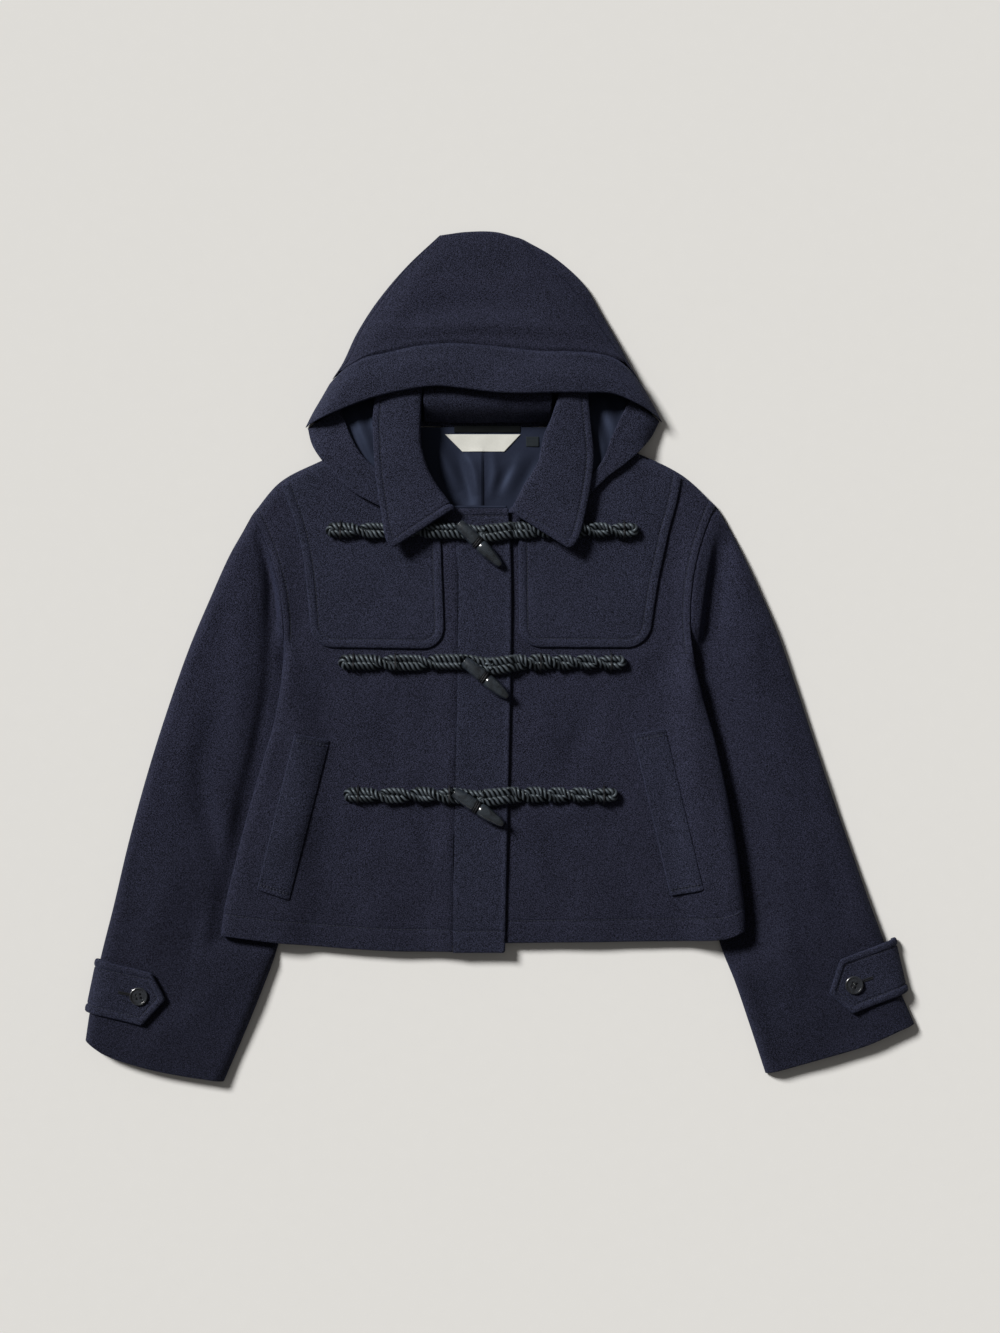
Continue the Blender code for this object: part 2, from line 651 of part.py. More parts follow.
# ---- hood -------------------------------------------------------------------------------
def hood():
    """The upper layer in panels, and the under layer that rests beside the shoulders."""
    seam_r, seam_l = curve(CROWN_SEAM_R), curve(CROWN_SEAM_L)
    outline_r, outline_l = curve(HOOD_OUTLINE_R), curve(HOOD_OUTLINE_L)
    clear = Vector((0, RIM_CLEAR, 0))
    middle = [Vector(p).to_3d() + clear for p in RIM_SEAM if seam_r(0).x < p[0] < seam_l(0).x]
    low = curve((seam_r(0), *middle, seam_l(0)))
    crown = patch(seam_r, seam_l, low, curve((seam_r(1), *HOOD_TOP[1:-1], seam_l(1))))
    sheet("hood_crown", on_height(crown, hood_top), 10, 8, WOOL, NAVY, (both_ends, last_end))

    for suffix, seam, outline, side in (("r", seam_r, outline_r, -1), ("l", seam_l, outline_l, 1)):
        def strip(u, v, seam=seam, outline=outline, side=side):
            share = u if side < 0 else 1.0 - u
            return outline(v).lerp(seam(v) + Vector((side * SEAM * 2, SEAM, 0)), share)

        sheet("hood_side_" + suffix, on_height(strip, hood_top), 2, 8, WOOL, NAVY, (even, last_end))

    rim = patch(curve(RIM_END_R), curve(RIM_END_L), curve(RIM_EDGE), curve(RIM_SEAM))
    sheet("hood_rim", on_height(rim, lambda x, y: hood_top(x, y) + RIM_PROUD), 16, 3, RIM_WALL, NAVY,
          (both_ends, even))

    left = curve(((-206, 224), (-211, 250), *RIM_END_R[2:], *HOOD_OUTLINE_R[1:]))
    right = curve(((156, 228), (170, 254), *RIM_END_L[2:], *HOOD_OUTLINE_L[1:]))
    low = curve(((-206, 224), (-160, 236), (-116, 251.6), (-20, 250.5), (76, 251.6), (113, 242), (156, 228)))
    back = patch(left, right, low, curve(HOOD_TOP))
    sheet("hood_back", on_height(back, lambda x, y: WOOL), 8, 9, WOOL, NAVY)


def strip_surface(rows, bulge):
    """Surface between the two 3D edges of a table, which rises from its outer edge like a fold."""
    outer = curve([row[:3] for row in rows])
    inner = curve([row[3:] for row in rows])

    def at(u, v):
        a, b = outer(v), inner(v)
        p = a.lerp(b, u)
        p.z = a.z + (b.z - a.z) * (rounded(u, 0.55) if bulge else u)
        return p

    return at


def hood_sides():
    for suffix, rows in (("r", FLANK_R), ("l", FLANK_L)):
        surface = strip_surface(reverse(rows) if suffix == "r" else rows, True)
        sheet("hood_flank_" + suffix, surface, 4, 6, WOOL, NAVY)
    for suffix, rows in (("r", HOOD_LINING_R), ("l", HOOD_LINING_L)):
        surface = strip_surface(reverse(rows) if suffix == "r" else rows, False)
        sheet("hood_lining_" + suffix, surface, 2, 5, SATIN, LINING)


# ---- collar -----------------------------------------------------------------------------
def collar_section(foot, roll, edge):
    """Points across a collar leaf, from its neck seam up over the roll and out to its edge."""
    out = Vector((foot.x - roll.x, foot.y - roll.y, 0.0))
    along = out.normalized()
    r = COLLAR_ROLL
    middle = Vector((roll.x, roll.y, roll.z - r)) + along * r
    start = middle - Vector((0, 0, r))
    points = [foot, foot.lerp(start, 0.55) - Vector((0, 0, 0.4))]
    for angle in (-90, -45, 0, 45, 90):
        a = math.radians(angle)
        points.append(middle - along * (r * math.cos(a)) + Vector((0, 0, r * math.sin(a))))
    top = points[-1]
    for share in (0.25, 0.5, 0.75, 1.0):
        p = top.lerp(edge, share)
        p.z += COLLAR_SWELL * 4 * share * (1 - share)
        points.append(p)
    return points


def collar_leaf(name, rows, side):
    feet = curve([row[:3] for row in rows])
    rolls = curve([row[3:6] for row in rows])
    edges = curve([row[6:] for row in rows])

    def at(u, v):
        section = collar_section(feet(v), rolls(v), edges(v))
        across = 1.0 - u if side < 0 else u
        return section[round(across * (len(section) - 1))]

    sheet(name, at, 10, 8, COLLAR_WALL, NAVY)


def collar():
    collar_leaf("collar_r", COLLAR_R, -1)
    collar_leaf("collar_l", COLLAR_L, 1)
    face = curve([(0, y, z) for y, z in COLLAR_BACK])

    def at(u, v):
        p = face(v)
        return Vector((COLLAR_BACK_X[0] + (COLLAR_BACK_X[1] - COLLAR_BACK_X[0]) * u, p.y, p.z))

    sheet("collar_back", at, 4, 6, COLLAR_WALL, NAVY)


# ---- inside the neck --------------------------------------------------------------------
def lining_top(x, y):
    pleat = smooth(1.0 - abs(x - NECK_LINING["pleat_x"]) / NECK_LINING["pleat_half"])
    below_band = smooth((NECK_LINING["pleat_top"] - y) / 40.0)
    return WOOL + SEAM + SATIN + NECK_LINING["pleat_height"] * pleat * below_band


def plate(name, corners, height, wall, finish, columns=1, rows=1):
    """A flat piece between four corners: low left, low right, high right, high left."""
    a, b, c, d = (Vector((x, y, 0.0)) for x, y in corners)

    def at(u, v):
        p = a.lerp(b, u).lerp(d.lerp(c, u), v)
        p.z = height(p.x, p.y)
        return p

    sheet(name, at, columns, rows, wall, finish)


def neck_inside():
    x0, x1 = NECK_LINING["x"]
    y0, y1 = NECK_LINING["y"]
    plate("neck_lining", ((x0, y0), (x1, y0), (x1, y1), (x0, y1)), lining_top, SATIN, LINING, 12, 4)
    over = WOOL + SEAM + SATIN + SEAM + TAPE
    x0, x1 = HANGER["x"]
    y0, y1 = HANGER["y"]
    plate("hanger_band", ((x0, y0), (x1, y0), (x1, y1), (x0, y1)), lambda x, y: over, TAPE, BRAID)
    foot, top = LABEL["foot_x"], LABEL["top_x"]
    corners = ((foot[0], LABEL["foot_y"]), (foot[1], LABEL["foot_y"]), (top[1], LABEL["top_y"]),
               (top[0], LABEL["top_y"]))
    plate("label", corners, lambda x, y: over, TAPE, IVORY)
    x0, x1 = SIZE_TAB["x"]
    y0, y1 = SIZE_TAB["y"]
    plate("size_tab", ((x0, y0), (x1, y0), (x1, y1), (x0, y1)), lambda x, y: over, TAPE, BRAID)


# ---- pockets and cuff tabs --------------------------------------------------------------
def welts():
    for name, (a, b, c, d) in (("welt_r", WELT_R), ("welt_l", WELT_L)):
        plate(name, (d, c, b, a), cover(front_top, WELT_WALL, WELT_REST), WELT_WALL, NAVY, 3, 10)


def cuff_tab(suffix, table, height, side):
    low_out, high_out = table["outer"]
    low_in, high_in = table["shoulders"]
    point = table["point"]
    outer = bent((low_out, high_out))
    inner = bent((low_in, point, high_in))
    low, high = bent((low_out, low_in)), bent((high_out, high_in))
    if side < 0:
        plan = patch(outer, inner, low, high)
    else:
        plan = patch(inner, outer, lambda u: low(1 - u), lambda u: high(1 - u))
    lies = cover(height, TAB_WALL)
    sheet("cuff_tab_" + suffix, on_height(plan, lies), 5, 4, TAB_WALL, NAVY)
    return lies


def button(suffix, place, height):
    """A four-hole button with a raised rim."""
    x, y = place
    base = max(height(x + dx * BUTTON_REACH, y + dy * BUTTON_REACH) for dx, dy in REACH) + SEAM
    r, h = BUTTON_RADIUS, BUTTON_HEIGHT
    profile = ((0.0, h * 0.62), (r * 0.62, h * 0.62), (r * 0.72, h), (r * 0.9, h), (r, h * 0.6),
               (r * 0.9, 0.0), (0.0, 0.0))
    made = turned("cuff_button_" + suffix, profile, 16, HORN)
    made.location = Vector((x, y, base)) * MM
    for k in range(4):
        angle = math.radians(45 + 90 * k)
        bpy.ops.mesh.primitive_cylinder_add(vertices=8, radius=BUTTON_HOLE * MM, depth=4 * h * MM)
        hole = bpy.context.object
        hole.name = f"button_hole_{suffix}_{k}"
        hole.location = Vector((x + BUTTON_HOLE_RADIUS * math.cos(angle),
                                y + BUTTON_HOLE_RADIUS * math.sin(angle), base)) * MM
        move_to_cutters(hole)
        cut = made.modifiers.new("hole", "BOOLEAN")
        cut.object = hole
        cut.operation = "DIFFERENCE"


def move_to_cutters(made):
    for collection in list(made.users_collection):
        collection.objects.unlink(made)
    CUTTERS.objects.link(made)
    made.hide_render = True
    made.display_type = "WIRE"


def turned(name, profile, steps, finish):
    """A turned piece: its profile runs from the top of the axis down the outside."""
    mesh = bpy.data.meshes.new(name)
    mesh.from_pydata([(x * MM, 0.0, z * MM) for x, z in profile],
                     [(k, k + 1) for k in range(len(profile) - 1)], [])
    made = bpy.data.objects.new(name, mesh)
    made.data.materials.append(material(name, *finish))
    COAT.objects.link(made)
    spin = made.modifiers.new("turn", "SCREW")
    spin.steps = spin.render_steps = steps
    spin.use_merge_vertices = True
    spin.merge_threshold = 0.00005
    spin.use_smooth_shade = True
    return made


# ---- closures ---------------------------------------------------------------------------
def stack_top(x, y):
    """Uppermost cloth under a closure: yoke, placket or front."""
    top = front_top(x, y)
    if x > PLACKET_ROWS[0][1] - 2 and x < PLACKET_ROWS[-2][2] + 2:
        return max(top, placket_top(x, y))
    yoke_edges = YOKE_R if x < 0 else YOKE_L
    low_y = min(point[1] for point in yoke_edges["lower"])
    inner_x, outer_x = yoke_edges["inner"][4][0], yoke_edges["outer"][3][0]
    if y > low_y - 2 and min(inner_x, outer_x) - 3 < x < max(inner_x, outer_x) + 3:
        return top + SEAM + WOOL
    return top


def rope(name, outer_x, inner_x, y, slant, seed):
    """Two cords laid side by side, which cross over each other along the way to a slanted end."""
    length = abs(inner_x - outer_x)
    direction = math.copysign(1.0, inner_x - outer_x)

    def floor(x):
        around = [stack_top(x + dx, y + dy) for dx in (-9, 0, 9) for dy in (-ROPE_HALF, 0, ROPE_HALF)]
        return max(around) + SEAM

    bm = bmesh.new()
    bmesh.ops.create_grid(bm, x_segments=ROPE_SIDES, y_segments=ROPE_ROWS, size=0.5)
    for vert in bm.verts:
        angle = -2.0 * math.pi * (vert.co.x + 0.5) * direction
        share = vert.co.y + 0.5
        crossing = math.cos(2.0 * math.pi * (share * length / ROPE_PITCH + seed))
        half = ROPE_HALF + (ROPE_WAIST - ROPE_HALF) * smooth(-crossing)
        height = CORD + (ROPE_CROSSED - CORD) * smooth(-crossing)
        groove = 1.0 - 0.3 * smooth(crossing) * math.sin(angle) ** 8
        across = half * math.cos(angle)
        up = 0.5 * height * (1.0 + math.sin(angle) * (groove if math.sin(angle) > 0 else 1.0))
        x = outer_x + direction * length * share
        skew = slant * across * smooth((share * length - length + 30.0) / 30.0)
        vert.co = Vector((x - skew, y + across, floor(x) + up)) * MM
    bmesh.ops.remove_doubles(bm, verts=bm.verts, dist=0.00002)
    bmesh.ops.holes_fill(bm, edges=[e for e in bm.edges if e.is_boundary], sides=0)
    bmesh.ops.recalc_face_normals(bm, faces=bm.faces)
    add_object(name, bm, ROPE, COAT)


def closure(number, row):
    y, outer_r, outer_l, head_x, head_y, tip_x, tip_y = row
    head, tip = Vector((head_x, head_y, 0.0)), Vector((tip_x, tip_y, 0.0))
    length = (tip - head).length
    waist = head.lerp(tip, TOGGLE_WAIST_SHARE)
    level = placket_top(waist.x, waist.y) + TOGGLE_RISE
    r, w = TOGGLE_RADIUS, TOGGLE_WAIST
    # the barrel, a waist for the rope, and a tapering horn with a round tip
    profile = (
        (0.0, 0.0), (r * 0.82, 0.0), (r, 2.0), (r, length * 0.36), (w, length * 0.41),
        (w, length * 0.51), (r * 0.95, length * 0.56), (r * 0.84, length * 0.75),
        (r * 0.6, length * 0.93), (r * 0.4, length * 0.985), (0.0, length),
    )
    toggle = turned(f"toggle_{number}", [(x, -z) for x, z in profile], 12, HORN)
    axis = (tip - head).normalized()
    toggle.rotation_mode = "QUATERNION"
    toggle.rotation_quaternion = Vector((0, 0, -1)).rotation_difference(axis)
    toggle.location = Vector((head.x, head.y, level)) * MM

    reach = w + SEAM + LOOP_RADIUS
    bpy.ops.mesh.primitive_torus_add(major_segments=12, minor_segments=5, major_radius=reach * MM,
                                     minor_radius=LOOP_RADIUS * MM)
    loop = bpy.context.object
    loop.name = f"rope_loop_{number}"
    loop.data.materials.append(material(loop.name, *ROPE))
    loop.rotation_mode = "QUATERNION"
    loop.rotation_quaternion = Vector((0, 0, 1)).rotation_difference(axis)
    loop.location = Vector((waist.x, waist.y, level)) * MM
    for collection in list(loop.users_collection):
        collection.objects.unlink(loop)
    COAT.objects.link(loop)

    # each rope ends beside the loop, on a slant that follows the toggle
    side_gap = (reach + LOOP_RADIUS + SEAM) / abs(axis.y)
    at_y = waist.x + (waist.y - y) * axis.x / -axis.y
    slant = axis.x / -axis.y
    rope(f"rope_r_{number}", outer_r, at_y - side_gap, y, slant, 0.1 * number)
    rope(f"rope_l_{number}", outer_l, at_y + side_gap, y, slant, 0.1 * number + 0.3)


def main():
    body_panels()
    placket()
    yoke("yoke_r", YOKE_R)
    yoke("yoke_l", YOKE_L)
    sleeve_r = sleeve("r", -1, SLEEVE_R, ARMHOLE_R)
    sleeve_l = sleeve("l", 1, SLEEVE_L, ARMHOLE_L)
    hood()
    hood_sides()
    collar()
    neck_inside()
    welts()
    for suffix, table, height, side, place in (("r", TAB_R, sleeve_r, -1, BUTTON_R),
                                               ("l", TAB_L, sleeve_l, 1, BUTTON_L)):
        button(suffix, place, cuff_tab(suffix, table, height, side))
    for number, row in enumerate(CLOSURES, start=1):
        closure(number, row)


main()
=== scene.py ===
"""Looks of a duffle coat laid flat on its back: wool, lining, doubled ropes, toggles, buttons and stitches.

The tables are in millimetres and are turned into metres when a mesh is made. X runs across the
coat (the wearer's right side at -X, suffix _r), Y from hem to hood, Z up from the floor. A side
is -1 for the wearer's right and 1 for the left.
"""

import math

import bpy
import numpy as np
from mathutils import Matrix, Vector
from mathutils.bvhtree import BVHTree


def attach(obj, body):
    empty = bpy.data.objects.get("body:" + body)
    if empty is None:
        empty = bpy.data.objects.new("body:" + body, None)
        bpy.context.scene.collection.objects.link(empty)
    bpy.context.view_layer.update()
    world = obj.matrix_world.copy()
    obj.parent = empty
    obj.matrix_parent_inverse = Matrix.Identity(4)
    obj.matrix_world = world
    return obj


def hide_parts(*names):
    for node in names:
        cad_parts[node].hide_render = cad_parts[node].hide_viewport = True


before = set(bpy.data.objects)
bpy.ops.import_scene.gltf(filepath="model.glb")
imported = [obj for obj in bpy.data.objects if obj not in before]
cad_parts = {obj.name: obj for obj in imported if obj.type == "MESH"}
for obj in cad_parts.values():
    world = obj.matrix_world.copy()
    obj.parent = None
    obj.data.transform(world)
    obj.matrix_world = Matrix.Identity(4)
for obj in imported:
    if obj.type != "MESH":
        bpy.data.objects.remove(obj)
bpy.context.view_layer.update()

MM = 0.001

# ---- camera, floor and light ------------------------------------------------------------
FRAME_HEIGHT = 1466.3     # what the camera takes in at the floor, along Y
FRAME_CENTRE = (-1.65, -10.45)
CAMERA_HEIGHT = 3000.0
FLOOR_SIZE = 60.0         # metres

# ---- cloth ------------------------------------------------------------------------------
WOOL = 2.5                # thickness of the wool
ARM_SEAM = 0.3            # a sleeve starts this far from the front
COLLAR_WALL = 3.0         # two layers sewn together, also in the placket
RIM_WALL = 4.0
RIM_PROUD = 0.8
SATIN = 1.2
TAPE = 0.8
SEAM = 0.4
FLOOR_GAP = 0.2           # underside of the cloth above the floor
BODY_GAP = 8.0
SIDE_GAP = 5.0
EDGE = 4.4
ARM_BLEND = {-1: (9.0, 9.0), 1: (7.0, 10.0)}    # from the armhole to its own height, underarm and shoulder
ARM_STRIP = {-1: 0.0, 1: 12.5}    # of a flat strip beside the armhole, at its widest
SLEEVE_LEAST = 5.6        # lowest face of a sleeve, where its two layers touch
ARM_STEP = {-1: 0.2, 1: 1.0}      # the sleeve's seam edge below the front's
ARM_DROP = 0.4            # how much further than that the front's edge turns down
SLEEVE_SINK = {-1: 1.0, 1: 2.4}
SEAM_DIP = 0.8            # a sewn seam's sunk line, at its deepest
SEAM_SOFT = 2.0
BOW_FADE = 20
FOLD_RADIUS = 13.0
SLEEVE_FOLD = 3.2         # height of the outermost line of a sleeve's fold
SLEEVE_HEIGHT = 15.0
SLEEVE_PRESSED = {-1: 8.2, 1: 7.4}
SLEEVE_EASE = {-1: 20.0, 1: 42.0}
SLEEVE_CLEAR = {-1: 3.0, 1: 12.0}
LIFT = {-1: 10.4, 1: 15.0}
LIFT_RAMP = 42.0
LIFT_RUN = 60.0
LIFT_START = {-1: 20.0, 1: 38.0}
UNDERARM_EASE = 40.0
PLACKET_RAISE = 3.2
PLACKET_BLEND = 32.0
PLACKET_SEAM_X = -51.5
STITCH_INSET = 9.6        # topstitching, in from an edge
FOLD_DROP = 2.3           # how far the cloth turns down past an upper layer at a fold
HEM_INSET = 24.0          # hem stitching, up from the hem
GROOVE = 0.75             # depth of a stitched line
GROOVE_HALF = 1.0
PUFF = 0.7                # swell of the cloth between an edge and its stitching

# ---- rows of points, in mm from an edge -------------------------------------------------
PLAIN = (0.0, 0.25, 0.7, 1.3, 2.2, 3.6)
ROLL = (0.0, 0.2, 0.8, 1.75, 3.0, 4.6, 6.5, 8.5, 10.7, 13.0)


def stitch_rows(inset):
    """Rows for an edge with stitching at an inset, which is one of the rows."""
    return PLAIN + (0.5 * (3.6 + inset - 1.7), inset - 1.7, inset - 0.9, inset - 0.4, inset,
                    inset + 0.4, inset + 0.9, inset + 1.7, inset + 3.2)


STITCHED = stitch_rows(STITCH_INSET)
ARM_ROWS = PLAIN + (5.2, 7.0, 9.0, 11.0, 13.0, 15.0, 17.0, 19.0, 21.5, 24.5)
HEMMED = PLAIN + (6.5, 10.5, 15.5, 20.0, 22.4, 23.3, 23.7, 24.0, 24.3, 24.7, 25.6, 28.0)

# ---- side seams, from hem to underarm ---------------------------------------------------
SIDE = {
    # y, x, sleeve tucked under
    -1: ((-325, -309, 64), (-305, -307, 64), (-273, -303, 64), (-223, -291, 60), (-172, -278, 52),
         (-116, -262, 36), (-72, -249, 16), (-33, -242, 4), (2, -239, 0)),
    1: ((-325, 266, 30), (-300, 266, 30), (-278, 266, 31), (-245, 262, 33), (-195, 255, 33),
        (-147, 246, 29), (-89, 233, 17), (-48, 221, 8), (-13, 213, 0)),
}
ARMHOLE = {
    -1: {"underarm": (-239, 2), "shoulder": (-273, 157), "bow": 11.5},
    1: {"underarm": (213, -13), "shoulder": (235, 166), "bow": -15.5},
}
SHOULDER = {
    -1: ((-273, 157), (-243, 192), (-201, 214), (-160, 231), (-116, 250)),
    1: ((235, 166), (199, 199), (151, 223), (113, 237), (76, 250)),
}
CENTRE = {
    -1: ((-53.5, -323), (-53, -229), (-50.5, -119), (-48.5, 2), (-48.5, 125), (-52, 156),
         (-71, 175), (-98, 206), (-116, 250)),
    1: ((-39, -315), (-38, -174), (-36, -36), (-35, 88), (-33, 128), (2, 156),
        (34, 174), (60, 204), (76, 250)),
}
HEM = {
    -1: ((-307, -305), (-241, -313.5), (-129, -322), (-53.5, -323)),
    1: ((266, -300), (241, -309), (134, -312), (13, -313.5), (-39, -315)),
}
HEM_BACK = ((-307, -303), (-241, -311), (-129, -318), (13, -311), (134, -309), (266, -298))
PLACKET_ROWS = (
    # y, seam x, free edge x
    (-324, -53, 4), (-229, -52.5, 6), (-139, -50, 8), (-48, -48, 10), (13, -48, 11), (98, -48, 11),
    (163, -51, 8),
)

# ---- sleeves ----------------------------------------------------------------------------
SLEEVE = {
    -1: {
        "outer": ((-273, 157), (-283, 139), (-299, 111), (-318, 69), (-343, 10), (-367, -58),
                  (-389, -128), (-409, -201), (-426, -273), (-441, -333), (-452, -388), (-457, -421)),
        "inner": ((-240.5, -1), (-237, -13), (-233, -32), (-231, -52), (-229, -78), (-224, -122),
                  (-226, -174), (-230, -226), (-237, -278), (-247, -322), (-263, -366),
                  (-283, -415), (-305, -466)),
        "cuff": ((-305, -466), (-360, -457.5), (-397, -449), (-434, -436.5), (-457, -421)),
    },
    1: {
        "outer": ((235, 166), (243, 154), (261, 121), (281, 79), (303, 28), (323, -30), (345, -97),
                  (366, -160), (387, -220), (405, -271), (422, -317), (435.5, -360), (453.5, -402.5)),
        "inner": ((214, -16), (208, -28), (203.5, -46), (204, -70), (209, -98), (215, -131), (222, -174),
                  (227, -223), (233, -267), (239, -311), (257, -358), (271, -399), (290, -457)),
        "cuff": ((290, -457), (307, -453), (346, -442), (400, -426), (443, -407), (453.5, -402.5)),
    },
}

# ---- creases: places from end to end, height, half width --------------------------------
BODY_CREASES = {
    -1: (
        (((-196, 0), (-186, -60), (-178, -120)), -1.6, 15),
        (((-248, 130), (-238, 50), (-232, -30)), 4.0, 10),
        (((-130, -240), (-138, -280), (-150, -322)), 2.0, 24),
        (((-205, -150), (-240, -200), (-262, -262)), 1.8, 17),
        (((-100, -30), (-122, -86), (-112, -150)), -1.9, 20),
        (((-58, -176), (-60, -216), (-58, -258)), 2.0, 12),
        (((-150, -110), (-105, -176), (-92, -250)), 1.5, 19),
        (((-245, -50), (-238, -90), (-250, -150)), -1.5, 11),
        (((-225, 30), (-196, -10), (-170, -26)), 1.7, 12),
        (((-110, -262), (-96, -290), (-90, -318)), -1.5, 13),
    ),
    1: (
        (((150, -30), (164, -120), (170, -210)), 1.8, 26),
        (((220, 165), (211, 80), (210, 10), (216, -60)), 6.5, 15),
        (((236, -120), (252, -220), (264, -330)), 4.5, 19),
        (((90, -230), (98, -280), (110, -318)), 2.2, 24),
        (((104, -10), (92, -70), (70, -130)), -2.4, 16),
        (((30, -50), (52, -96), (44, -140)), 1.8, 17),
        (((40, -190), (58, -226), (84, -290)), -2.4, 17),
        (((192, -60), (216, -130), (226, -200)), 1.6, 12),
        (((180, 20), (150, -6), (120, -16)), 1.6, 13),
        (((20, -150), (70, -170), (120, -150)), 1.5, 16),
        (((130, -262), (146, -290), (160, -310)), -1.6, 14),
    ),
}
SLEEVE_CREASES = {
    -1: (
        (((-264, 175), (-252, 93), (-251, 40), (-254, -20)), -11.0, 9.5),
        (((-251, 20), (-255, -45), (-265, -100), (-282, -180)), -9.5, 10.5),
        (((-280, 110), (-286, 40), (-288, -60), (-294, -130)), 3.2, 14),
        (((-330, -30), (-342, -90), (-352, -170)), 3.2, 19),
        (((-318, -70), (-330, -140), (-318, -200)), -3.6, 13),
        (((-330, -150), (-312, -215), (-304, -262)), -4.0, 12),
        (((-306, -120), (-300, -170), (-292, -210)), 2.2, 12),
        (((-318, -250), (-336, -300), (-352, -345)), -3.2, 13),
        (((-352, -210), (-372, -270), (-392, -330)), 3.0, 16),
        (((-390, -150), (-402, -220), (-410, -280)), -2.0, 12),
        (((-282, -340), (-322, -372), (-350, -420)), 2.4, 15),
        (((-356, -392), (-380, -420), (-400, -440)), 1.8, 13),
    ),
    1: (
        (((250, 150), (240, 110), (235, 70), (231, 30), (226, -10), (232, -60)), -13.0, 13.0),
        (((262, 100), (274, 20), (284, -60)), 3.0, 14),
        (((300, 10), (326, -70), (346, -140)), -2.2, 12),
        (((262, -130), (276, -200), (290, -250)), -2.8, 15),
        (((292, -40), (312, -120), (322, -190)), 2.8, 17),
        (((330, -170), (338, -220), (352, -270)), 2.2, 15),
        (((372, -150), (388, -210), (400, -250)), -2.0, 12),
        (((296, -260), (312, -320), (340, -380)), 2.8, 15),
        (((356, -230), (372, -280), (384, -306)), -2.4, 13),
        (((268, -336), (290, -380), (310, -420)), -2.6, 14),
        (((350, -398), (372, -412), (400, -414)), -1.8, 12),
    ),
}
HOOD_CREASES = (
    (((-152, 343), (-70, 360), (20, 360), (108, 345)), 3.4, 9),
    (((-130, 372), (-50, 384), (50, 380)), -2.2, 12),
    (((-100, 344), (-30, 350), (60, 345)), -0.8, 6),
    (((60, 425), (92, 408), (112, 372)), 2.6, 7),
    (((40, 420), (72, 402), (96, 366)), -2.2, 8),
    (((-152, 352), (-130, 360), (-100, 356)), 2.2, 7),
    (((-60, 440), (-20, 428), (30, 432)), -2.0, 15),
    (((60, 350), (100, 345), (128, 335)), -2.0, 8),
    (((-110, 408), (-84, 424), (-60, 452)), 1.8, 10),
    (((-170, 300), (-90, 318), (0, 314)), 1.6, 10),
    (((10, 308), (70, 306), (130, 296)), 1.4, 10),
)
# the cloth's own unevenness: wave length, direction in degrees, start, height
RIPPLES = ((61, 24, 0.3, 0.22), (83, 112, 1.7, 0.26), (47, 71, 4.1, 0.15), (34, 153, 2.2, 0.1),
           (127, 48, 5.0, 0.35))

# ---- yokes, welts and tabs --------------------------------------------------------------
YOKE = {
    -1: {
        "top": ((-241, 189), (-201, 211), (-160, 228), (-121, 244)),
        "outer": ((-241, 189), (-233, 167), (-225, 143), (-218, 114), (-214, 85), (-211, 54), (-208, 10.5)),
        "inner": ((-121, 244), (-106, 206), (-84, 173), (-68, 134), (-65, 90), (-63.5, 52), (-62.5, 8.5)),
    },
    1: {
        "top": ((197, 196), (151, 220), (113, 234), (80, 245)),
        "outer": ((197, 196), (192, 169), (184, 140), (178, 112), (172, 84), (167, 52), (161, 10)),
        "inner": ((80, 245), (64, 206), (42, 173), (20, 134), (19, 98), (19, 63), (19.5, 10.5)),
    },
}
WELT = {
    # low outer, low inner, high inner, high outer
    -1: ((-267, -254), (-232, -266), (-188, -91), (-226, -84)),
    1: ((185, -262), (220.5, -255), (179, -78), (144, -85)),
}
WELT_WALL = 2.2
WELT_STITCH = 5.5         # end stitching of a welt
TAB = {
    -1: {"outer": ((-451.5, -390), (-439.5, -332)), "shoulders": ((-393, -403), (-382, -346)),
         "point": (-367, -374.5), "button": (-396.5, -371), "hole": ((-419, -366.5), (-405, -369.5))},
    1: {"outer": ((441, -369), (427, -309.5)), "shoulders": ((384, -390), (370, -331)),
        "point": (358, -368), "button": (385.3, -358.5), "hole": ((395, -354.5), (406, -350.5))},
}
TAB_WALL = 3.3
TAB_INSET = 9.0

# ---- hood -------------------------------------------------------------------------------
HOOD_TOP = ((-68, 463), (-39, 467), (-7, 467), (25, 458))
HOOD_OUTLINE = {
    -1: ((-185.5, 305), (-174, 323), (-159, 355), (-136, 391), (-104, 429), (-68, 463)),
    1: ((151.5, 303), (145, 313.5), (128, 345), (108, 380), (90, 410), (58, 439), (25, 458)),
}
RIM_END = {
    -1: ((-215, 252), (-207, 268), (-197, 285), (-189, 299)),
    1: ((176, 258), (170, 270), (163, 283), (154.5, 298)),
}
RIM_EDGE = ((-215, 252), (-168, 272), (-136, 283), (-104, 290), (-72, 294), (-39, 291), (-7, 287),
            (25, 286), (58, 287), (90, 287), (122, 286), (153, 273), (176, 258))
RIM_SEAM = ((-189, 299), (-172, 314), (-149, 326), (-126, 331), (-94, 338), (-52, 341.5), (-7, 338),
            (41, 333), (90, 332), (122, 326), (138, 316), (154.5, 298))
CROWN_SEAM = {
    -1: ((-177, 313), (-165, 328), (-152, 359), (-126, 397), (-104, 426), (-66, 463.3)),
    1: ((135, 322), (127, 334), (112, 354), (93, 384), (73, 409), (46, 432), (17, 460.8)),
}
RIM_CLEAR = 0.35
SIDE_CLEAR = 0.4
HOOD_RISE = 15.0
HOOD_EDGE = 3.6
RIM_RISE = 42.0
CORNER_RISE = 28.0
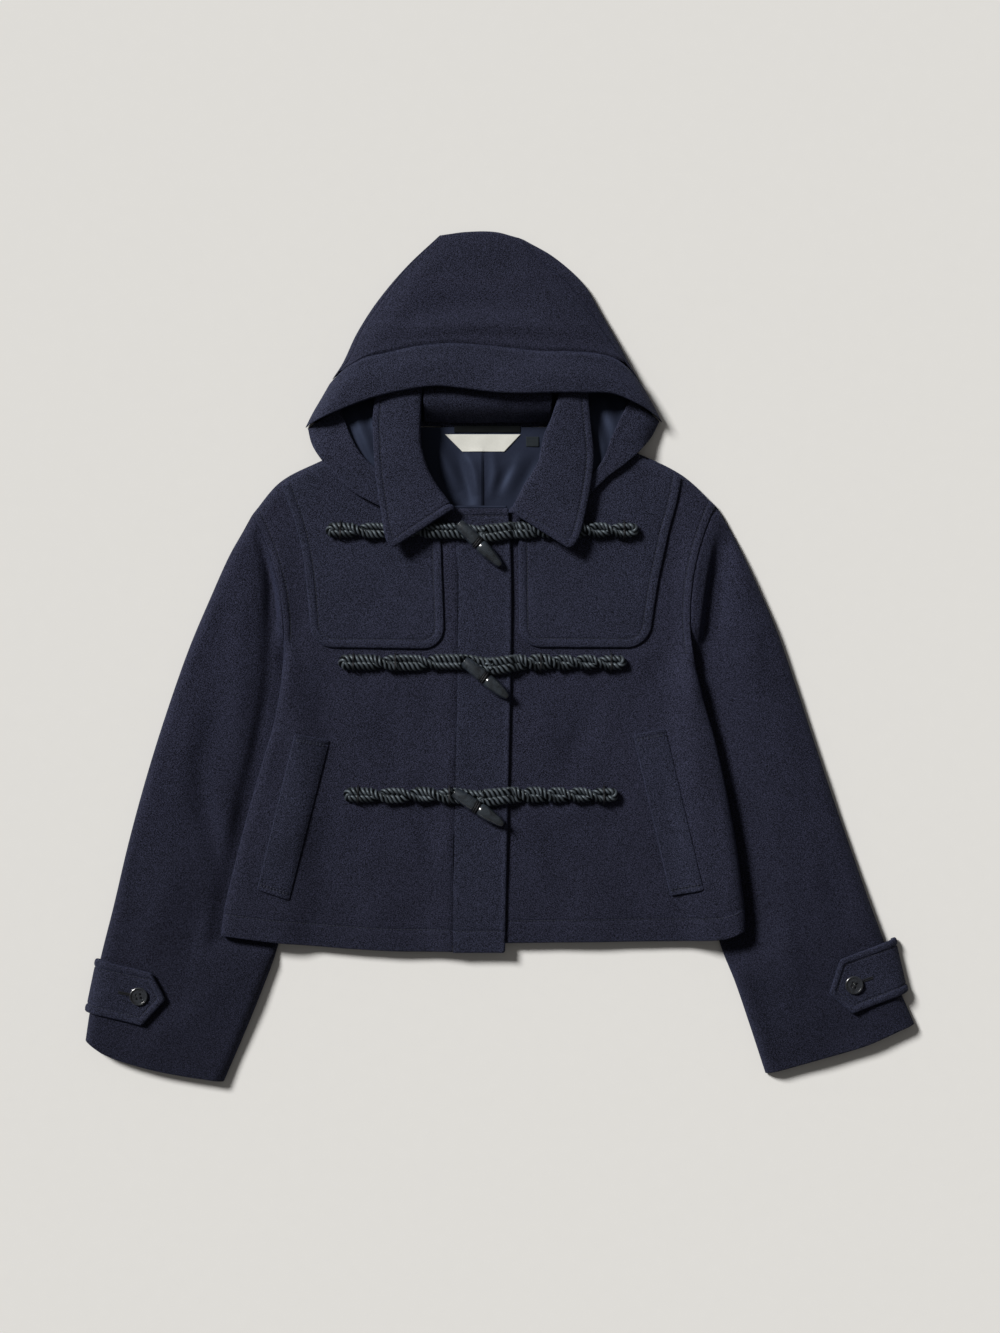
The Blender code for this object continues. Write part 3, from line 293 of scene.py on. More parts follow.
FLANK = {
    # outer x, y, z, inner x, y, z, from the rim corner to the collar
    -1: ((-213, 251, 4.6, -177, 272, 17), (-208, 232, 6, -170, 255, 20), (-199, 217, 19, -162, 236, 22),
         (-180, 195, 21.5, -152, 220, 23), (-159, 178, 21.5, -136, 206, 23),
         (-128, 162, 21.5, -114, 192, 22.5)),
    1: ((174.5, 258, 4.6, 141, 283, 16.5), (164, 240, 6, 128, 257, 20), (153, 226, 19, 119, 237, 22),
        (133, 209, 21.5, 113, 220, 23), (115, 195, 21.5, 104, 206, 23), (92, 173, 21.5, 86, 189, 22.5)),
}
HOOD_LINING = {
    -1: ((-181, 286, 6, -128, 296, 6.5), (-177, 256, 14, -128, 268, 15), (-165, 231, 17.2, -127, 243, 19),
         (-149, 211, 17.8, -125, 222, 19.2), (-134, 199, 18.4, -119, 208, 19.5)),
    1: ((146, 286, 6, 90, 294, 6.5), (135, 256, 13.2, 90, 266, 13), (122, 232, 17, 88, 243, 18),
        (113, 212, 18, 86, 222, 19.2), (104, 196, 18.6, 80, 206, 19.5)),
}

# ---- collar -----------------------------------------------------------------------------
COLLAR = {
    # foot x, y, z, roll x, y, z, edge x, y, z
    -1: ((-60, 160, 16.2, -50, 160, 29, -118.5, 118, 34), (-69, 169, 16.0, -57, 170, 30, -126, 128, 33),
         (-82, 181, 15.7, -68, 185, 31, -132, 160, 29), (-102, 205, 15.4, -80, 206, 32, -137.5, 196, 28),
         (-113, 229, 15.4, -87, 233, 33, -140, 230, 28), (-115, 254, 15, -87, 262, 33, -141, 261, 28),
         (-112, 286, 15, -85, 300, 32, -136, 300, 26)),
    1: ((16, 157, 16.8, 7, 158, 29, 75, 117, 34), (27, 164, 16.5, 14, 168, 30, 84, 129, 33),
        (42, 176, 16.5, 25, 189, 31, 92, 158, 29), (64, 203, 16.5, 40, 213, 32, 98, 190, 28),
        (74, 228, 16.5, 45, 239, 33, 101, 220, 28), (76, 254, 15, 54, 262, 33, 98, 254, 28),
        (74, 286, 15, 66, 300, 32, 94, 300, 26)),
}
COLLAR_ROLL = 4.0
COLLAR_SWELL = 1.8
COLLAR_BACK = ((257, 4.8), (263, 16), (273, 27), (284, 31), (296, 28), (306, 20))
COLLAR_BACK_X = (-85, 55)

# ---- inside the neck --------------------------------------------------------------------
NECK_X = (-112, 72)
NECK_Y = (112, 252.5)
PLEAT_X = -20.5
PLEAT_TOP = 205
LINING_CREASES = (
    (((-70, 236), (-58, 208), (-46, 180)), 2.6, 6.5),
    (((-52, 232), (-42, 200), (-30, 166)), -1.8, 5.5),
    (((-40, 226), (-30, 204), (-26, 176)), 1.8, 5),
    (((-10, 228), (-7, 200), (-14, 170)), 1.9, 5.5),
    (((14, 216), (2, 196), (-8, 178)), -1.5, 6),
    (((24, 226), (12, 200), (2, 172)), 1.5, 7),
    (((38, 222), (28, 200), (16, 176)), -1.6, 6),
    (((-76, 210), (-64, 190), (-50, 170)), -1.2, 6),
)
HANGER = ((-52, 246.5), (21, 246.5), (21, 254), (-52, 254))
LABEL = ((-43, 225.5), (3, 225.5), (21, 244.5), (-62, 244.5))
SIZE_TAB = ((27, 231), (41, 231), (41, 242), (27, 242))

# ---- closures ---------------------------------------------------------------------------
CLOSURES = (
    # y, outer x of the right rope, outer x of the left rope, toggle head x, y, toggle tip x, y
    (138.5, -188, 146, -47, 146, -1, 100),
    (-6, -174, 133, -41, -4, 7, -44),
    (-151, -169, 124, -52, -147, 2, -183),
)
CORD_RADIUS = 5.8         # one cord of a doubled rope
STRAND_RADIUS = 2.2
STRAND_FLAT = 0.58        # how far a cord is flattened by its sewing
STRAND_PITCH = 16.0       # length of a strand's turn round its cord
STRAND_STEP = 1.15
STRAND_SIDES = 7
CORD_APART = 3.8          # half the distance between the two cords
CORD_CLIMB = 6.0          # how far one rises over the other there
CROSSINGS = {
    # distances of the crossings from a rope's outer end, right rope and left rope
    -1: ((32, 66, 98), (44, 93), (35, 69, 99)),
    1: ((26, 52, 80, 106), (27, 52, 76, 104), (25, 50, 74, 100)),
}
TACKS = {
    # distances of the tack bars from a rope's outer end
    -1: ((12,), (12, 58), (12, 112)),
    1: ((12,), (13, 90), (12,)),
}
TOGGLE_WAIST = 5.2
TOGGLE_WAIST_SHARE = 0.46
TOGGLE_RISE = 9.6
BUTTON_RADIUS = 9.8
BUTTON_HEIGHT = 3.2
THREAD = 0.42             # half the width of a stitch
FOLD_INSET = 2.8          # an under layer stops this far inside the fold that covers its edge
PLACKET_CLEAR = 0.3
PLACKET_BAND = 6.0        # rolled band along the placket's free edge
PLACKET_SWELL = 0.9
NECK_INSET = 8.6
PIPING_RADIUS = 1.7
YOKE_CORNER = 24.0
WELT_SWELL = 0.9
WELT_SOFT = 1.0           # how much thinner a welt is along its pressed edges
TAB_LIE = 3.7             # face of a tab above the sleeve
TAB_CURL = 2.4            # how far its pointed end stands up
TAB_BULK = 2.2            # more where it goes round the fold
COLLAR_INSET = 8.2
SEAM_SWELL = 0.9
RIM_SWELL = 2.2
PLEAT_RISE = 1.6
PLEAT_STEP = 2.2
CROSSING_RUN = {-1: 18.0, 1: 14.0}    # length of rope in which its cords change places
ROPE_END = {-1: -8.0, 1: 8.0}   # distance of a rope's inner end from the toggle's waist
EYE_OPEN = {-1: 0.0, 1: 0.8}    # how much further apart the cords are there
ROPE_DRIFT = 0.25         # share of the way down to the waist that a rope's inner end goes
TACK_THREADS = 2
TACK_RADIUS = 0.45
COIL_RADIUS = 1.1
COIL_TURNS = 2.2
TIP_DROP = 3.0            # a toggle's tip lies that much lower than its head
PLACKET_LEVEL = BODY_GAP + 2 * WOOL + SEAM + COLLAR_WALL
TOGGLE_LEVEL = PLACKET_LEVEL + TOGGLE_RISE
TOGGLE_PROFILE = (
    # share of its length, radius
    (0.0, 3.9), (0.022, 5.4), (0.05, 6.2), (0.2, 6.8), (0.36, 7.4), (0.405, 7.2), (0.43, 5.4), (0.495, 5.1),
    (0.525, 6.7), (0.56, 7.3), (0.68, 7.1), (0.8, 6.1), (0.91, 4.8), (0.97, 3.8), (1.0, 2.4),
)
BUTTON_LEVEL = 19.0
BUTTON_TURN = {-1: 12, 1: -20}    # degrees
HOLE_RING = 2.9           # middle of a button to the middle of a hole
HOLE_RADIUS = 1.35
BUTTON_THREAD = 0.26      # radius
BUTTON_THREADS_APART = 0.45
BUTTONHOLE_STEP = 0.75    # from one stitch round a buttonhole to the next
KEY_POWER = 4.35
KEY_SOFTNESS = 15.0       # degrees across
KEY_AZIMUTH = 139.6
KEY_ELEVATION = 37.0
FILL_POWER = 0.11
STITCH_LENGTH = 2.7
STITCH_STEP = 3.7


# ---- numbers, lines and places ----------------------------------------------------------
def smooth(t):
    t = np.clip(t, 0.0, 1.0)
    return t * t * (3.0 - 2.0 * t)


def rounded(distance, radius):
    """Rises like a quarter circle from 0 at a fold to 1 at the radius."""
    t = 1.0 - np.clip(distance / radius, 0.0, 1.0)
    return np.sqrt(np.maximum(1.0 - t * t, 0.0))


def column(rows, value, index):
    """Reads one column of a table at values of its first column."""
    table = np.array(rows, float)
    return np.interp(value, table[:, 0], table[:, index])


def run_of(points):
    """Distances along a line from its first point to each."""
    steps = np.linalg.norm(np.diff(points, axis=0), axis=1)
    return np.concatenate(([0.0], np.cumsum(steps)))


class Line:
    """A smooth line through given points, read by the share of its length."""

    def __init__(self, points, sharp=False, fine=10):
        knots = np.array([tuple(p) + (0.0,) * (3 - len(p)) for p in points], float)
        if sharp or len(knots) == 2:
            self.points = knots
        else:
            place = run_of(knots)
            rise = np.empty_like(knots)
            rise[1:-1] = (knots[2:] - knots[:-2]) / (place[2:] - place[:-2])[:, None]
            rise[0] = (knots[1] - knots[0]) / place[1]
            rise[-1] = (knots[-1] - knots[-2]) / (place[-1] - place[-2])
            t = np.linspace(0.0, 1.0, fine, endpoint=False)[:, None]
            parts = []
            for k in range(len(knots) - 1):
                span = place[k + 1] - place[k]
                parts.append(knots[k] * (2 * t ** 3 - 3 * t ** 2 + 1)
                             + knots[k + 1] * (3 * t ** 2 - 2 * t ** 3)
                             + rise[k] * span * (t ** 3 - 2 * t ** 2 + t)
                             + rise[k + 1] * span * (t ** 3 - t ** 2))
            self.points = np.concatenate(parts + [knots[-1:]])
        self.along = run_of(self.points)
        self.length = self.along[-1]

    def at(self, share):
        place = np.asarray(share, float) * self.length
        return np.stack([np.interp(place, self.along, self.points[:, k]) for k in range(3)], -1)

    def near(self, x, y):
        """Distance from places to the line seen from above, and the share of the line nearest to each."""
        best = np.full(np.shape(x), 1e9)
        share = np.zeros(np.shape(x))
        for k in range(len(self.points) - 1):
            ax, ay = self.points[k, :2]
            bx, by = self.points[k + 1, :2] - self.points[k, :2]
            t = np.clip(((x - ax) * bx + (y - ay) * by) / max(bx * bx + by * by, 1e-9), 0.0, 1.0)
            distance = np.hypot(x - ax - t * bx, y - ay - t * by)
            closer = distance < best
            best = np.where(closer, distance, best)
            here = (self.along[k] + t * (self.along[k + 1] - self.along[k])) / self.length
            share = np.where(closer, here, share)
        return best, share

    def moved(self, distance):
        """The line moved to its left by a distance."""
        run = np.gradient(self.points, axis=0)
        run /= np.linalg.norm(run[:, :2], axis=1, keepdims=True)
        side = np.stack((-run[:, 1], run[:, 0], 0 * run[:, 0]), -1)
        return Line(self.points + side * distance, sharp=True)


def back_to_front(points):
    return tuple(reversed(points))


def joined(*lines):
    """One line through the fine points of several."""
    points = [tuple(p) for p in lines[0].points]
    for line in lines[1:]:
        points += [tuple(p) for p in line.points[1:]]
    return Line(points, sharp=True)


def spread(lengths, count, low, high):
    """Shares of some lengths: close rows from both ends and even ones between, a column for each length."""
    lengths = np.atleast_1d(np.asarray(lengths, float))[None, :]
    fit = np.minimum(1.0, 0.8 * lengths / (low[-1] + high[-1]))
    low = np.array(low)[:, None] * fit
    high = np.array(high)[::-1][:, None] * fit
    t = np.linspace(0.0, 1.0, count + 1)[1:-1, None]
    inner = low[-1] + (lengths - low[-1] - high[0]) * t
    return np.concatenate((low, inner, lengths - high)) / lengths


def steps_between(length, step, low, high):
    return max(2, round((length - low[-1] - high[-1]) / step))


def patch(left, right, low, high, u, v):
    """Places between four lines: left and right run up the rows, low and high across them."""
    u3, v3 = u[..., None], v[..., None]
    across = left.at(v) * (1 - u3) + right.at(v) * u3
    along = low.at(u) * (1 - v3) + high.at(u) * v3
    a, b, c, d = low.at(0.0), low.at(1.0), high.at(0.0), high.at(1.0)
    corners = (a * (1 - u3) + b * u3) * (1 - v3) + (c * (1 - u3) + d * u3) * v3
    return across + along - corners


def round_corner(a, b, radius):
    """Moves places near a corner, given by their distances from its two sides, onto rings round it."""
    if radius <= 0:
        return a, b
    near = (a < radius) & (b < radius)
    least, most = np.minimum(a, b), np.maximum(a, b)
    turn = 0.25 * np.pi * (1.0 - (most - least) / np.maximum(radius - least, 1e-6))
    flat = radius - (radius - least) * np.cos(turn)
    steep = radius - (radius - least) * np.sin(turn)
    return (np.where(near, np.where(a < b, flat, steep), a),
            np.where(near, np.where(a < b, steep, flat), b))


class Panel:
    """Points of a piece between four lines, and their distances in from each of its edges."""

    def __init__(self, surface, widths, heights, step, rows, corners=(0, 0, 0, 0)):
        """surface(u, v) gives places. Widths are measured at even v, heights at even u. Rows are the
        distances of the close rows from the left, right, low and high edges, and corners are the
        radii at low left, low right, high right and high left."""
        left, right, low, high = rows
        even = np.linspace(0.0, 1.0, len(widths))
        across = steps_between(np.mean(widths), step, left, right)
        up = steps_between(np.mean(heights), step, low, high)
        us = spread(np.mean(widths), across, left, right)[:, 0]
        vs = spread(np.mean(heights), up, low, high)[:, 0]
        width = np.interp(vs, even, widths)
        height = np.interp(us, even, heights)
        u = spread(width, across, left, right).T
        v = spread(height, up, low, high)
        width, height = width[:, None], height[None, :]
        self.edge = {"left": u * width, "right": (1 - u) * width, "low": v * height, "high": (1 - v) * height}
        a, b = self.edge["left"], self.edge["low"]
        c, d = self.edge["right"], self.edge["high"]
        a, b = round_corner(a, b, corners[0])
        a, d = round_corner(a, d, corners[3])
        c, b = round_corner(c, b, corners[1])
        c, d = round_corner(c, d, corners[2])
        u = np.where(self.edge["left"] < self.edge["right"], a / width, 1 - c / width)
        v = np.where(self.edge["low"] < self.edge["high"], b / height, 1 - d / height)
        self.points = surface(np.clip(u, 0, 1), np.clip(v, 0, 1))
        self.x, self.y = self.points[..., 0], self.points[..., 1]

    def inside(self, *sides):
        """Distance in from the nearest of some edges, or of all four."""
        return np.minimum.reduce([self.edge[side] for side in sides or self.edge])


def measured(surface, count=24):
    """Lengths of a surface's rows and columns."""
    u, v = np.meshgrid(np.linspace(0, 1, count), np.linspace(0, 1, count))
    points = surface(u, v)
    widths = np.linalg.norm(np.diff(points, axis=1), axis=2).sum(axis=1)
    heights = np.linalg.norm(np.diff(points, axis=0), axis=2).sum(axis=0)
    return np.maximum(widths, 0.5), np.maximum(heights, 0.5)


def panel(left, right, low, high, step, rows=(), corners=(0, 0, 0, 0)):
    def surface(u, v):
        return patch(left, right, low, high, u, v)

    return Panel(surface, *measured(surface), step, rows or (PLAIN,) * 4, corners)


# ---- relief -----------------------------------------------------------------------------
def crease_sum(creases, x, y):
    """Soft ridges and troughs, which fade in and out along their length."""
    total = np.zeros(np.shape(x))
    for points, height, half in creases:
        distance, share = Line(points, fine=5).near(x, y)
        fade = np.sin(np.pi * np.clip(share, 0.02, 0.98)) ** 0.8
        total += height * fade * np.exp(-(distance / half) ** 2)
    return total


def ripple(x, y):
    total = np.zeros(np.shape(x))
    for length, degrees, start, height in RIPPLES:
        a = math.radians(degrees)
        total += height * np.sin(2 * np.pi * (x * math.cos(a) + y * math.sin(a)) / length + start)
    return total


def groove(distance, inset):
    """Depth of a stitched line at distances from the edge that it runs beside."""
    return GROOVE * np.exp(-((distance - inset) / GROOVE_HALF) ** 2)


def stitched(distance, inset, puff=PUFF):
    """Relief of a stitched edge: a swell between the edge and the stitching, then the sunk line."""
    t = np.clip(distance / inset, 0.0, 1.0)
    swell = puff * 4 * t * (1 - t)
    return swell - groove(distance, inset)


def beside(side, x, y):
    return (x - column(SIDE[side], y, 1)) * -side


def lift(side, x, y):
    """How far the tucked sleeves lift the back off the floor."""
    past = beside(side, x, y) - column(SIDE[side], y, 2)
    underarm = SIDE[side][-1][0]
    return LIFT[side] * smooth(1.0 - past / LIFT_RAMP) * smooth((underarm + LIFT_START[side] - y) / LIFT_RUN)


HEM_LINE = {side: Line(HEM[side]) for side in (-1, 1)}
SHOULDER_LINE = {side: Line(SHOULDER[side]) for side in (-1, 1)}


def front_plain(side, x, y, inset=0.0):
    """Face of a front with its creases, before its hem, or the inside of its wall when inset."""
    raised = lift(side, x, y)
    gap = BODY_GAP + (SIDE_GAP - BODY_GAP) * raised / LIFT[side]
    full = raised + 2 * WOOL + gap + crease_sum(BODY_CREASES[side], x, y) + ripple(x, y) - inset
    seam_side = rounded(beside(side, x, y) + 0.3 - inset, FOLD_RADIUS - inset)
    seam_side = seam_side + (1.0 - seam_side) * smooth((y - SIDE[side][-1][0]) / 26.0)
    shoulder = SHOULDER_LINE[side].near(x, y)[0]
    edge = raised + EDGE - 0.68 * inset
    level = edge + (full - edge) * seam_side * rounded(shoulder + 0.3 - inset, FOLD_RADIUS - inset)
    if side < 0:
        level = level + PLACKET_RAISE * smooth(1.0 - (PLACKET_SEAM_X - x) / PLACKET_BLEND)
    return level


def front_face(side, x, y):
    """Face of a front with the swell and stitching of its hem."""
    hem = HEM_LINE[side].near(x, y)[0]
    t = np.clip(hem / HEM_INSET, 0.0, 1.0)
    swell = 0.5 * (1.0 - t ** 4)
    return front_plain(side, x, y) + swell - groove(hem, HEM_INSET)


def front_inside(side, x, y):
    """Inside of a front, which turns down to the back at its folds and is double along the hem."""
    folded = np.where(y < SIDE[side][-1][0], beside(side, x, y), 99.0)
    folded = np.minimum(folded, SHOULDER_LINE[side].near(x, y)[0])
    hem = HEM_LINE[side].near(x, y)[0]
    turned = 1.8 * smooth((HEM_INSET + 1.5 - hem) / 1.5)
    hole, share = ARM_LINE[side].near(x, y)
    armhole = (arm_step(side, share) + ARM_DROP) * (1.0 - smooth(hole / WOOL))
    return front_plain(side, x, y, WOOL) - FOLD_DROP * (1.0 - smooth(folded / WOOL)) - turned - armhole


def arm_step(side, share):
    """Step down from the front to the sleeve, which fades towards the shoulder."""
    return ARM_STEP[side] * (0.15 + 0.85 * smooth((0.75 - share) / 0.6))


def placket_face(x, y):
    return PLACKET_LEVEL + ripple(x, y) * 0.6 + 0.25


def arm_line(side, inset, tip_inset=0.0):
    """The armhole from underarm to shoulder, moved in towards the body, with more at its ends."""
    hole = ARMHOLE[side]
    share = np.linspace(0.0, 1.0, 40)
    start, end = np.array(hole["underarm"], float), np.array(hole["shoulder"], float)
    points = start + (end - start) * share[:, None]
    moved = inset + tip_inset * smooth(np.abs(2.0 * share - 1.0) / 0.4 - 1.5)
    points[:, 0] += math.copysign(1.0, hole["bow"]) * (abs(hole["bow"]) * 4 * share * (1 - share) + moved)
    return Line(points, sharp=True)


ARM_LINE = {side: arm_line(side, 0.0) for side in (-1, 1)}
INNER = {side: Line(SLEEVE[side]["inner"]) for side in (-1, 1)}
OUTER = {side: Line(SLEEVE[side]["outer"]) for side in (-1, 1)}


def sleeve_face(side, x, y, inset=0.0):
    """Face of a sleeve's upper layer, or of its inside when inset by the wall.

    It leaves the armhole at the level of the front, and sinks a little more where the body's
    lifted edge lies on it."""
    covered = 1.0 - smooth((-beside(side, x, y) - SLEEVE_CLEAR[side]) / SLEEVE_EASE[side])
    hem_points = HEM[side] if side < 0 else back_to_front(HEM[side])
    hem = column(hem_points, x, 1)
    covered = covered * (1.0 - smooth((hem - y - SLEEVE_CLEAR[side]) / SLEEVE_EASE[side]))
    covered = covered * smooth((UNDERARM_EASE - y) / UNDERARM_EASE)
    full = SLEEVE_HEIGHT + (SLEEVE_PRESSED[side] - SLEEVE_HEIGHT) * covered
    full = full + (crease_sum(SLEEVE_CREASES[side], x, y) + ripple(x, y)) * (1.0 - covered)
    hole, share = ARM_LINE[side].near(x, y)
    level = front_plain(side, x, y) - arm_step(side, share)
    low, high = ARM_BLEND[side]
    strip = ARM_STRIP[side] * 4 * share * (1 - share)
    joining = 1.0 - smooth((hole - strip) / (low + (high - low) * share))
    full = full + (level - full) * joining * (1.0 - covered)
    full = full - SLEEVE_SINK[side] * covered * np.exp(-(beside(side, x, y) / 16.0) ** 2)
    full = np.maximum(full, SLEEVE_LEAST) - inset
    shape = rounded(INNER[side].near(x, y)[0] - inset, FOLD_RADIUS - inset)
    shape = shape * rounded(OUTER[side].near(x, y)[0] - inset, FOLD_RADIUS - inset)
    return SLEEVE_FOLD + (full - SLEEVE_FOLD) * shape


def sleeve_under(side, x, y, inset=0.0):
    edge = np.minimum(INNER[side].near(x, y)[0], OUTER[side].near(x, y)[0])
    return SLEEVE_FOLD - (SLEEVE_FOLD - FLOOR_GAP - inset) * rounded(edge - inset, 5.0)


OUTLINE = joined(Line(RIM_END[-1]), Line(HOOD_OUTLINE[-1]), Line(HOOD_TOP),
                 Line(back_to_front(HOOD_OUTLINE[1])), Line(back_to_front(RIM_END[1])))


def hood_face(x, y, inset=0.0):
    """Face of the hood's upper layer, or the inside of its wall when inset."""
    middle = 0.5 * (RIM_END[-1][0][0] + RIM_END[1][0][0])
    half = 0.5 * (RIM_END[1][0][0] - RIM_END[-1][0][0])
    over_neck = smooth(1.15 - np.abs(x - middle) / half)
    rim = CORNER_RISE + (RIM_RISE - CORNER_RISE) * over_neck
    up = smooth((y - 270.0) / 190.0)
    full = rim + (HOOD_RISE - rim) * up + crease_sum(HOOD_CREASES, x, y) + ripple(x, y) * 1.2 - inset
    shape = rounded(OUTLINE.near(x, y)[0] + 0.3 - inset, 20.0 + 26.0 * up - inset)
    edge = HOOD_EDGE - 0.36 * inset
    return edge + (full - edge) * shape


def hood_inside(x, y, wall=WOOL):
    fold = OUTLINE.near(x, y)[0]
    return hood_face(x, y, wall) - FOLD_DROP * (1.0 - smooth(fold / WOOL))


# ---- meshes -----------------------------------------------------------------------------
PIECES = {}
FACES = {}


def sheet_faces(rows, cols, offset, flip):
    """Faces of a grid of points."""
    i = (np.arange((rows - 1) * cols).reshape(rows - 1, cols)[:, :-1] + offset).ravel()
    faces = np.stack((i, i + 1, i + cols + 1, i + cols), -1)
    return faces[:, ::-1] if flip else faces


def volume_of(points, faces):
    """Six times the volume inside some quads, below zero when they face inwards."""
    a, b, c, d = (points[faces[:, k]] for k in range(4))
    return np.sum(a * (np.cross(b, c) + np.cross(c, d)))


def add_mesh(name, points, faces, finish, slot, nodes=(), uvs=None):
    """Makes a piece from points in millimetres and quads, and says what it stands for."""
    points, faces = np.asarray(points, float), np.asarray(faces)
    if volume_of(points - points.mean(axis=0), faces) < 0:
        faces = faces[:, ::-1]
        uvs = uvs[:, ::-1] if uvs is not None else None
    mesh = bpy.data.meshes.new(name)
    mesh.from_pydata((points * MM).tolist(), [], faces.tolist())
    if uvs is not None:
        layer = mesh.uv_layers.new(name="strand")
        layer.data.foreach_set("uv", np.asarray(uvs, float).ravel())
    made = bpy.data.objects.new(name, mesh)
    bpy.context.scene.collection.objects.link(made)
    return settle(made, finish, slot, nodes)


def settle(made, finish, slot, nodes=()):
    if nodes:
        made.name = made.data.name = nodes[0] + "_dressed"
    made.data.materials.clear()
    made.data.materials.append(finish)
    made.data.shade_smooth()
    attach(made, "root")
    if nodes:
        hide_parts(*nodes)
    PIECES[nodes[0] if nodes else made.name] = made
    return made


def border(rows, cols):
    """Indices round the border of a grid."""
    i = np.arange(rows * cols).reshape(rows, cols)
    return np.concatenate((i[0, :-1], i[:-1, -1], i[-1, :0:-1], i[:0:-1, 0]))


def skin(name, face, inside, finish, slot, nodes=()):
    """A closed piece of cloth between its face and its inside, two grids of points."""
    rows, cols = face.shape[:2]
    count = rows * cols
    ring = border(rows, cols)
    after = np.roll(ring, -1)
    rim = np.stack((ring + count, after + count, after, ring), -1)
    faces = np.concatenate((sheet_faces(rows, cols, 0, False), sheet_faces(rows, cols, count, True), rim))
    points = np.concatenate((face.reshape(-1, 3), inside.reshape(-1, 3)))
    FACES[name] = face
    return add_mesh(name, points, faces, finish, slot, nodes)


def edge_round(distance, radius):
    """How far a rounded edge falls away at a distance from it."""
    t = 1.0 - np.clip(distance / np.maximum(radius, 0.01), 0.0, 1.0)
    return radius * (1.0 - np.sqrt(np.maximum(1.0 - t * t, 0.0)))


def laid(name, cut, top, bottom, finish, slot, nodes=(), roll=1.25, sewn=()):
    """A panel lying flat, from the heights of its face and inside, with rounded edges.

    An edge that is sewn to its neighbour sinks softly into the seam instead."""
    radius = np.minimum(0.49 * (top - bottom), roll)
    fall = edge_round(cut.inside(*(edge for edge in cut.edge if edge not in sewn)), radius)
    sunk = sum((SEAM_DIP * np.exp(-(cut.edge[edge] / SEAM_SOFT) ** 2) for edge in sewn), 0.0 * top)
    face, inside = cut.points.copy(), cut.points.copy()
    face[..., 2] = top - np.maximum(fall, sunk)
    inside[..., 2] = bottom + fall
    return skin(name, face, inside, finish, slot, nodes)


def normals_of(points):
    found = np.cross(np.gradient(points, axis=1), np.gradient(points, axis=0))
    return found / np.maximum(np.linalg.norm(found, axis=2, keepdims=True), 1e-9)


def ribbon(name, cut, wall, relief, finish, slot, nodes=(), normal=None):
    """A panel of any curve: its wall lies behind its face, and relief lifts the face."""
    normal = normals_of(cut.points) if normal is None else normal
    fall = edge_round(cut.inside(), 0.49 * wall)
    face = cut.points + normal * (relief - fall)[..., None]
    inside = cut.points - normal * (wall - fall)[..., None]
    return skin(name, face, inside, finish, slot, nodes)


def through(sections):
    """A surface on which u runs along each section, and v from the first section to the last."""
    def surface(u, v):
        place = v * (len(sections) - 1)
        k = np.clip(place.astype(int), 0, len(sections) - 2)
        found = np.empty(u.shape + (3,))
        for index in np.ndindex(u.shape):
            t = place[index] - k[index]
            a, b = sections[k[index]].at(u[index]), sections[k[index] + 1].at(u[index])
            found[index] = a * (1 - t) + b * t
        return found

    return surface


def straight(a, b):
    return Line((tuple(a), tuple(b)), sharp=True)


def plate(corners, step, rows=(), radii=(0, 0, 0, 0)):
    """A flat panel between four corners: low left, low right, high right, high left."""
    a, b, c, d = corners
    return panel(straight(a, d), straight(b, c), straight(a, b), straight(d, c), step, rows, radii)


# ---- finishes ---------------------------------------------------------------------------
class Socket:
    """An output of a shader tree, on which sums can be written."""

    def __init__(self, finish, output):
        self.finish = finish
        self.output = output

    def sum_of(self, operation, *values):
        return self.finish.node("ShaderNodeMath", {"operation": operation}, dict(enumerate(values)))

    def __add__(self, other):
        return self.sum_of("ADD", self, other)

    def __sub__(self, other):
        return self.sum_of("SUBTRACT", self, other)

    def __rsub__(self, other):
        return self.sum_of("SUBTRACT", other, self)

    def __mul__(self, other):
        return self.sum_of("MULTIPLY", self, other)

    __radd__ = __add__
    __rmul__ = __mul__

    def sine(self):
        return self.sum_of("SINE", self)

    def capped(self):
        return self.finish.node("ShaderNodeClamp", {}, {"Value": self})


class Finish:
    """A material with one principled shader."""

    def __init__(self, name, **settings):
        self.made = bpy.data.materials.new(name)
        self.made.use_nodes = True
        self.tree = self.made.node_tree
        self.shader = self.tree.nodes["Principled BSDF"]
        for socket, value in settings.items():
            self.shader.inputs[socket.replace("_", " ")].default_value = value

    def node(self, kind, settings, values, output=0):
        made = self.tree.nodes.new(kind)
        for name, value in settings.items():
            setattr(made, name, value)
        self.fill(made, values)
        return Socket(self, made.outputs[output])

    def fill(self, made, values):
        for name, value in values.items():
            if isinstance(value, Socket):
                self.tree.links.new(value.output, made.inputs[name])
            else:
                made.inputs[name].default_value = value

    def place(self):
        return self.node("ShaderNodeTexCoord", {}, {}, "Object")

    def strand_place(self):
        return self.node("ShaderNodeTexCoord", {}, {}, "UV")

    def stretched(self, place, scale, turn=(0, 0, 0)):
        return self.node("ShaderNodeMapping", {}, {"Vector": place, "Scale": scale, "Rotation": turn})

    def noise(self, place, scale, detail=2.0, rough=0.5, warp=0.0):
        return self.node("ShaderNodeTexNoise", {}, {"Vector": place, "Scale": scale, "Detail": detail,
                                                    "Roughness": rough, "Distortion": warp})

    def between(self, value, low, high, to_low=0.0, to_high=1.0):
        return self.node("ShaderNodeMapRange", {}, {"Value": value, "From Min": low, "From Max": high,
                                                    "To Min": to_low, "To Max": to_high})

    def mix(self, factor, first, second):
        return self.node("ShaderNodeMix", {"data_type": "RGBA"}, {0: factor, 6: first, 7: second}, 2)

    def bump(self, height, strength, depth):
        return self.node("ShaderNodeBump", {}, {"Height": height, "Strength": strength, "Distance": depth})

    def set(self, **values):
        self.fill(self.shader, {name.replace("_", " "): value for name, value in values.items()})
        return self.made


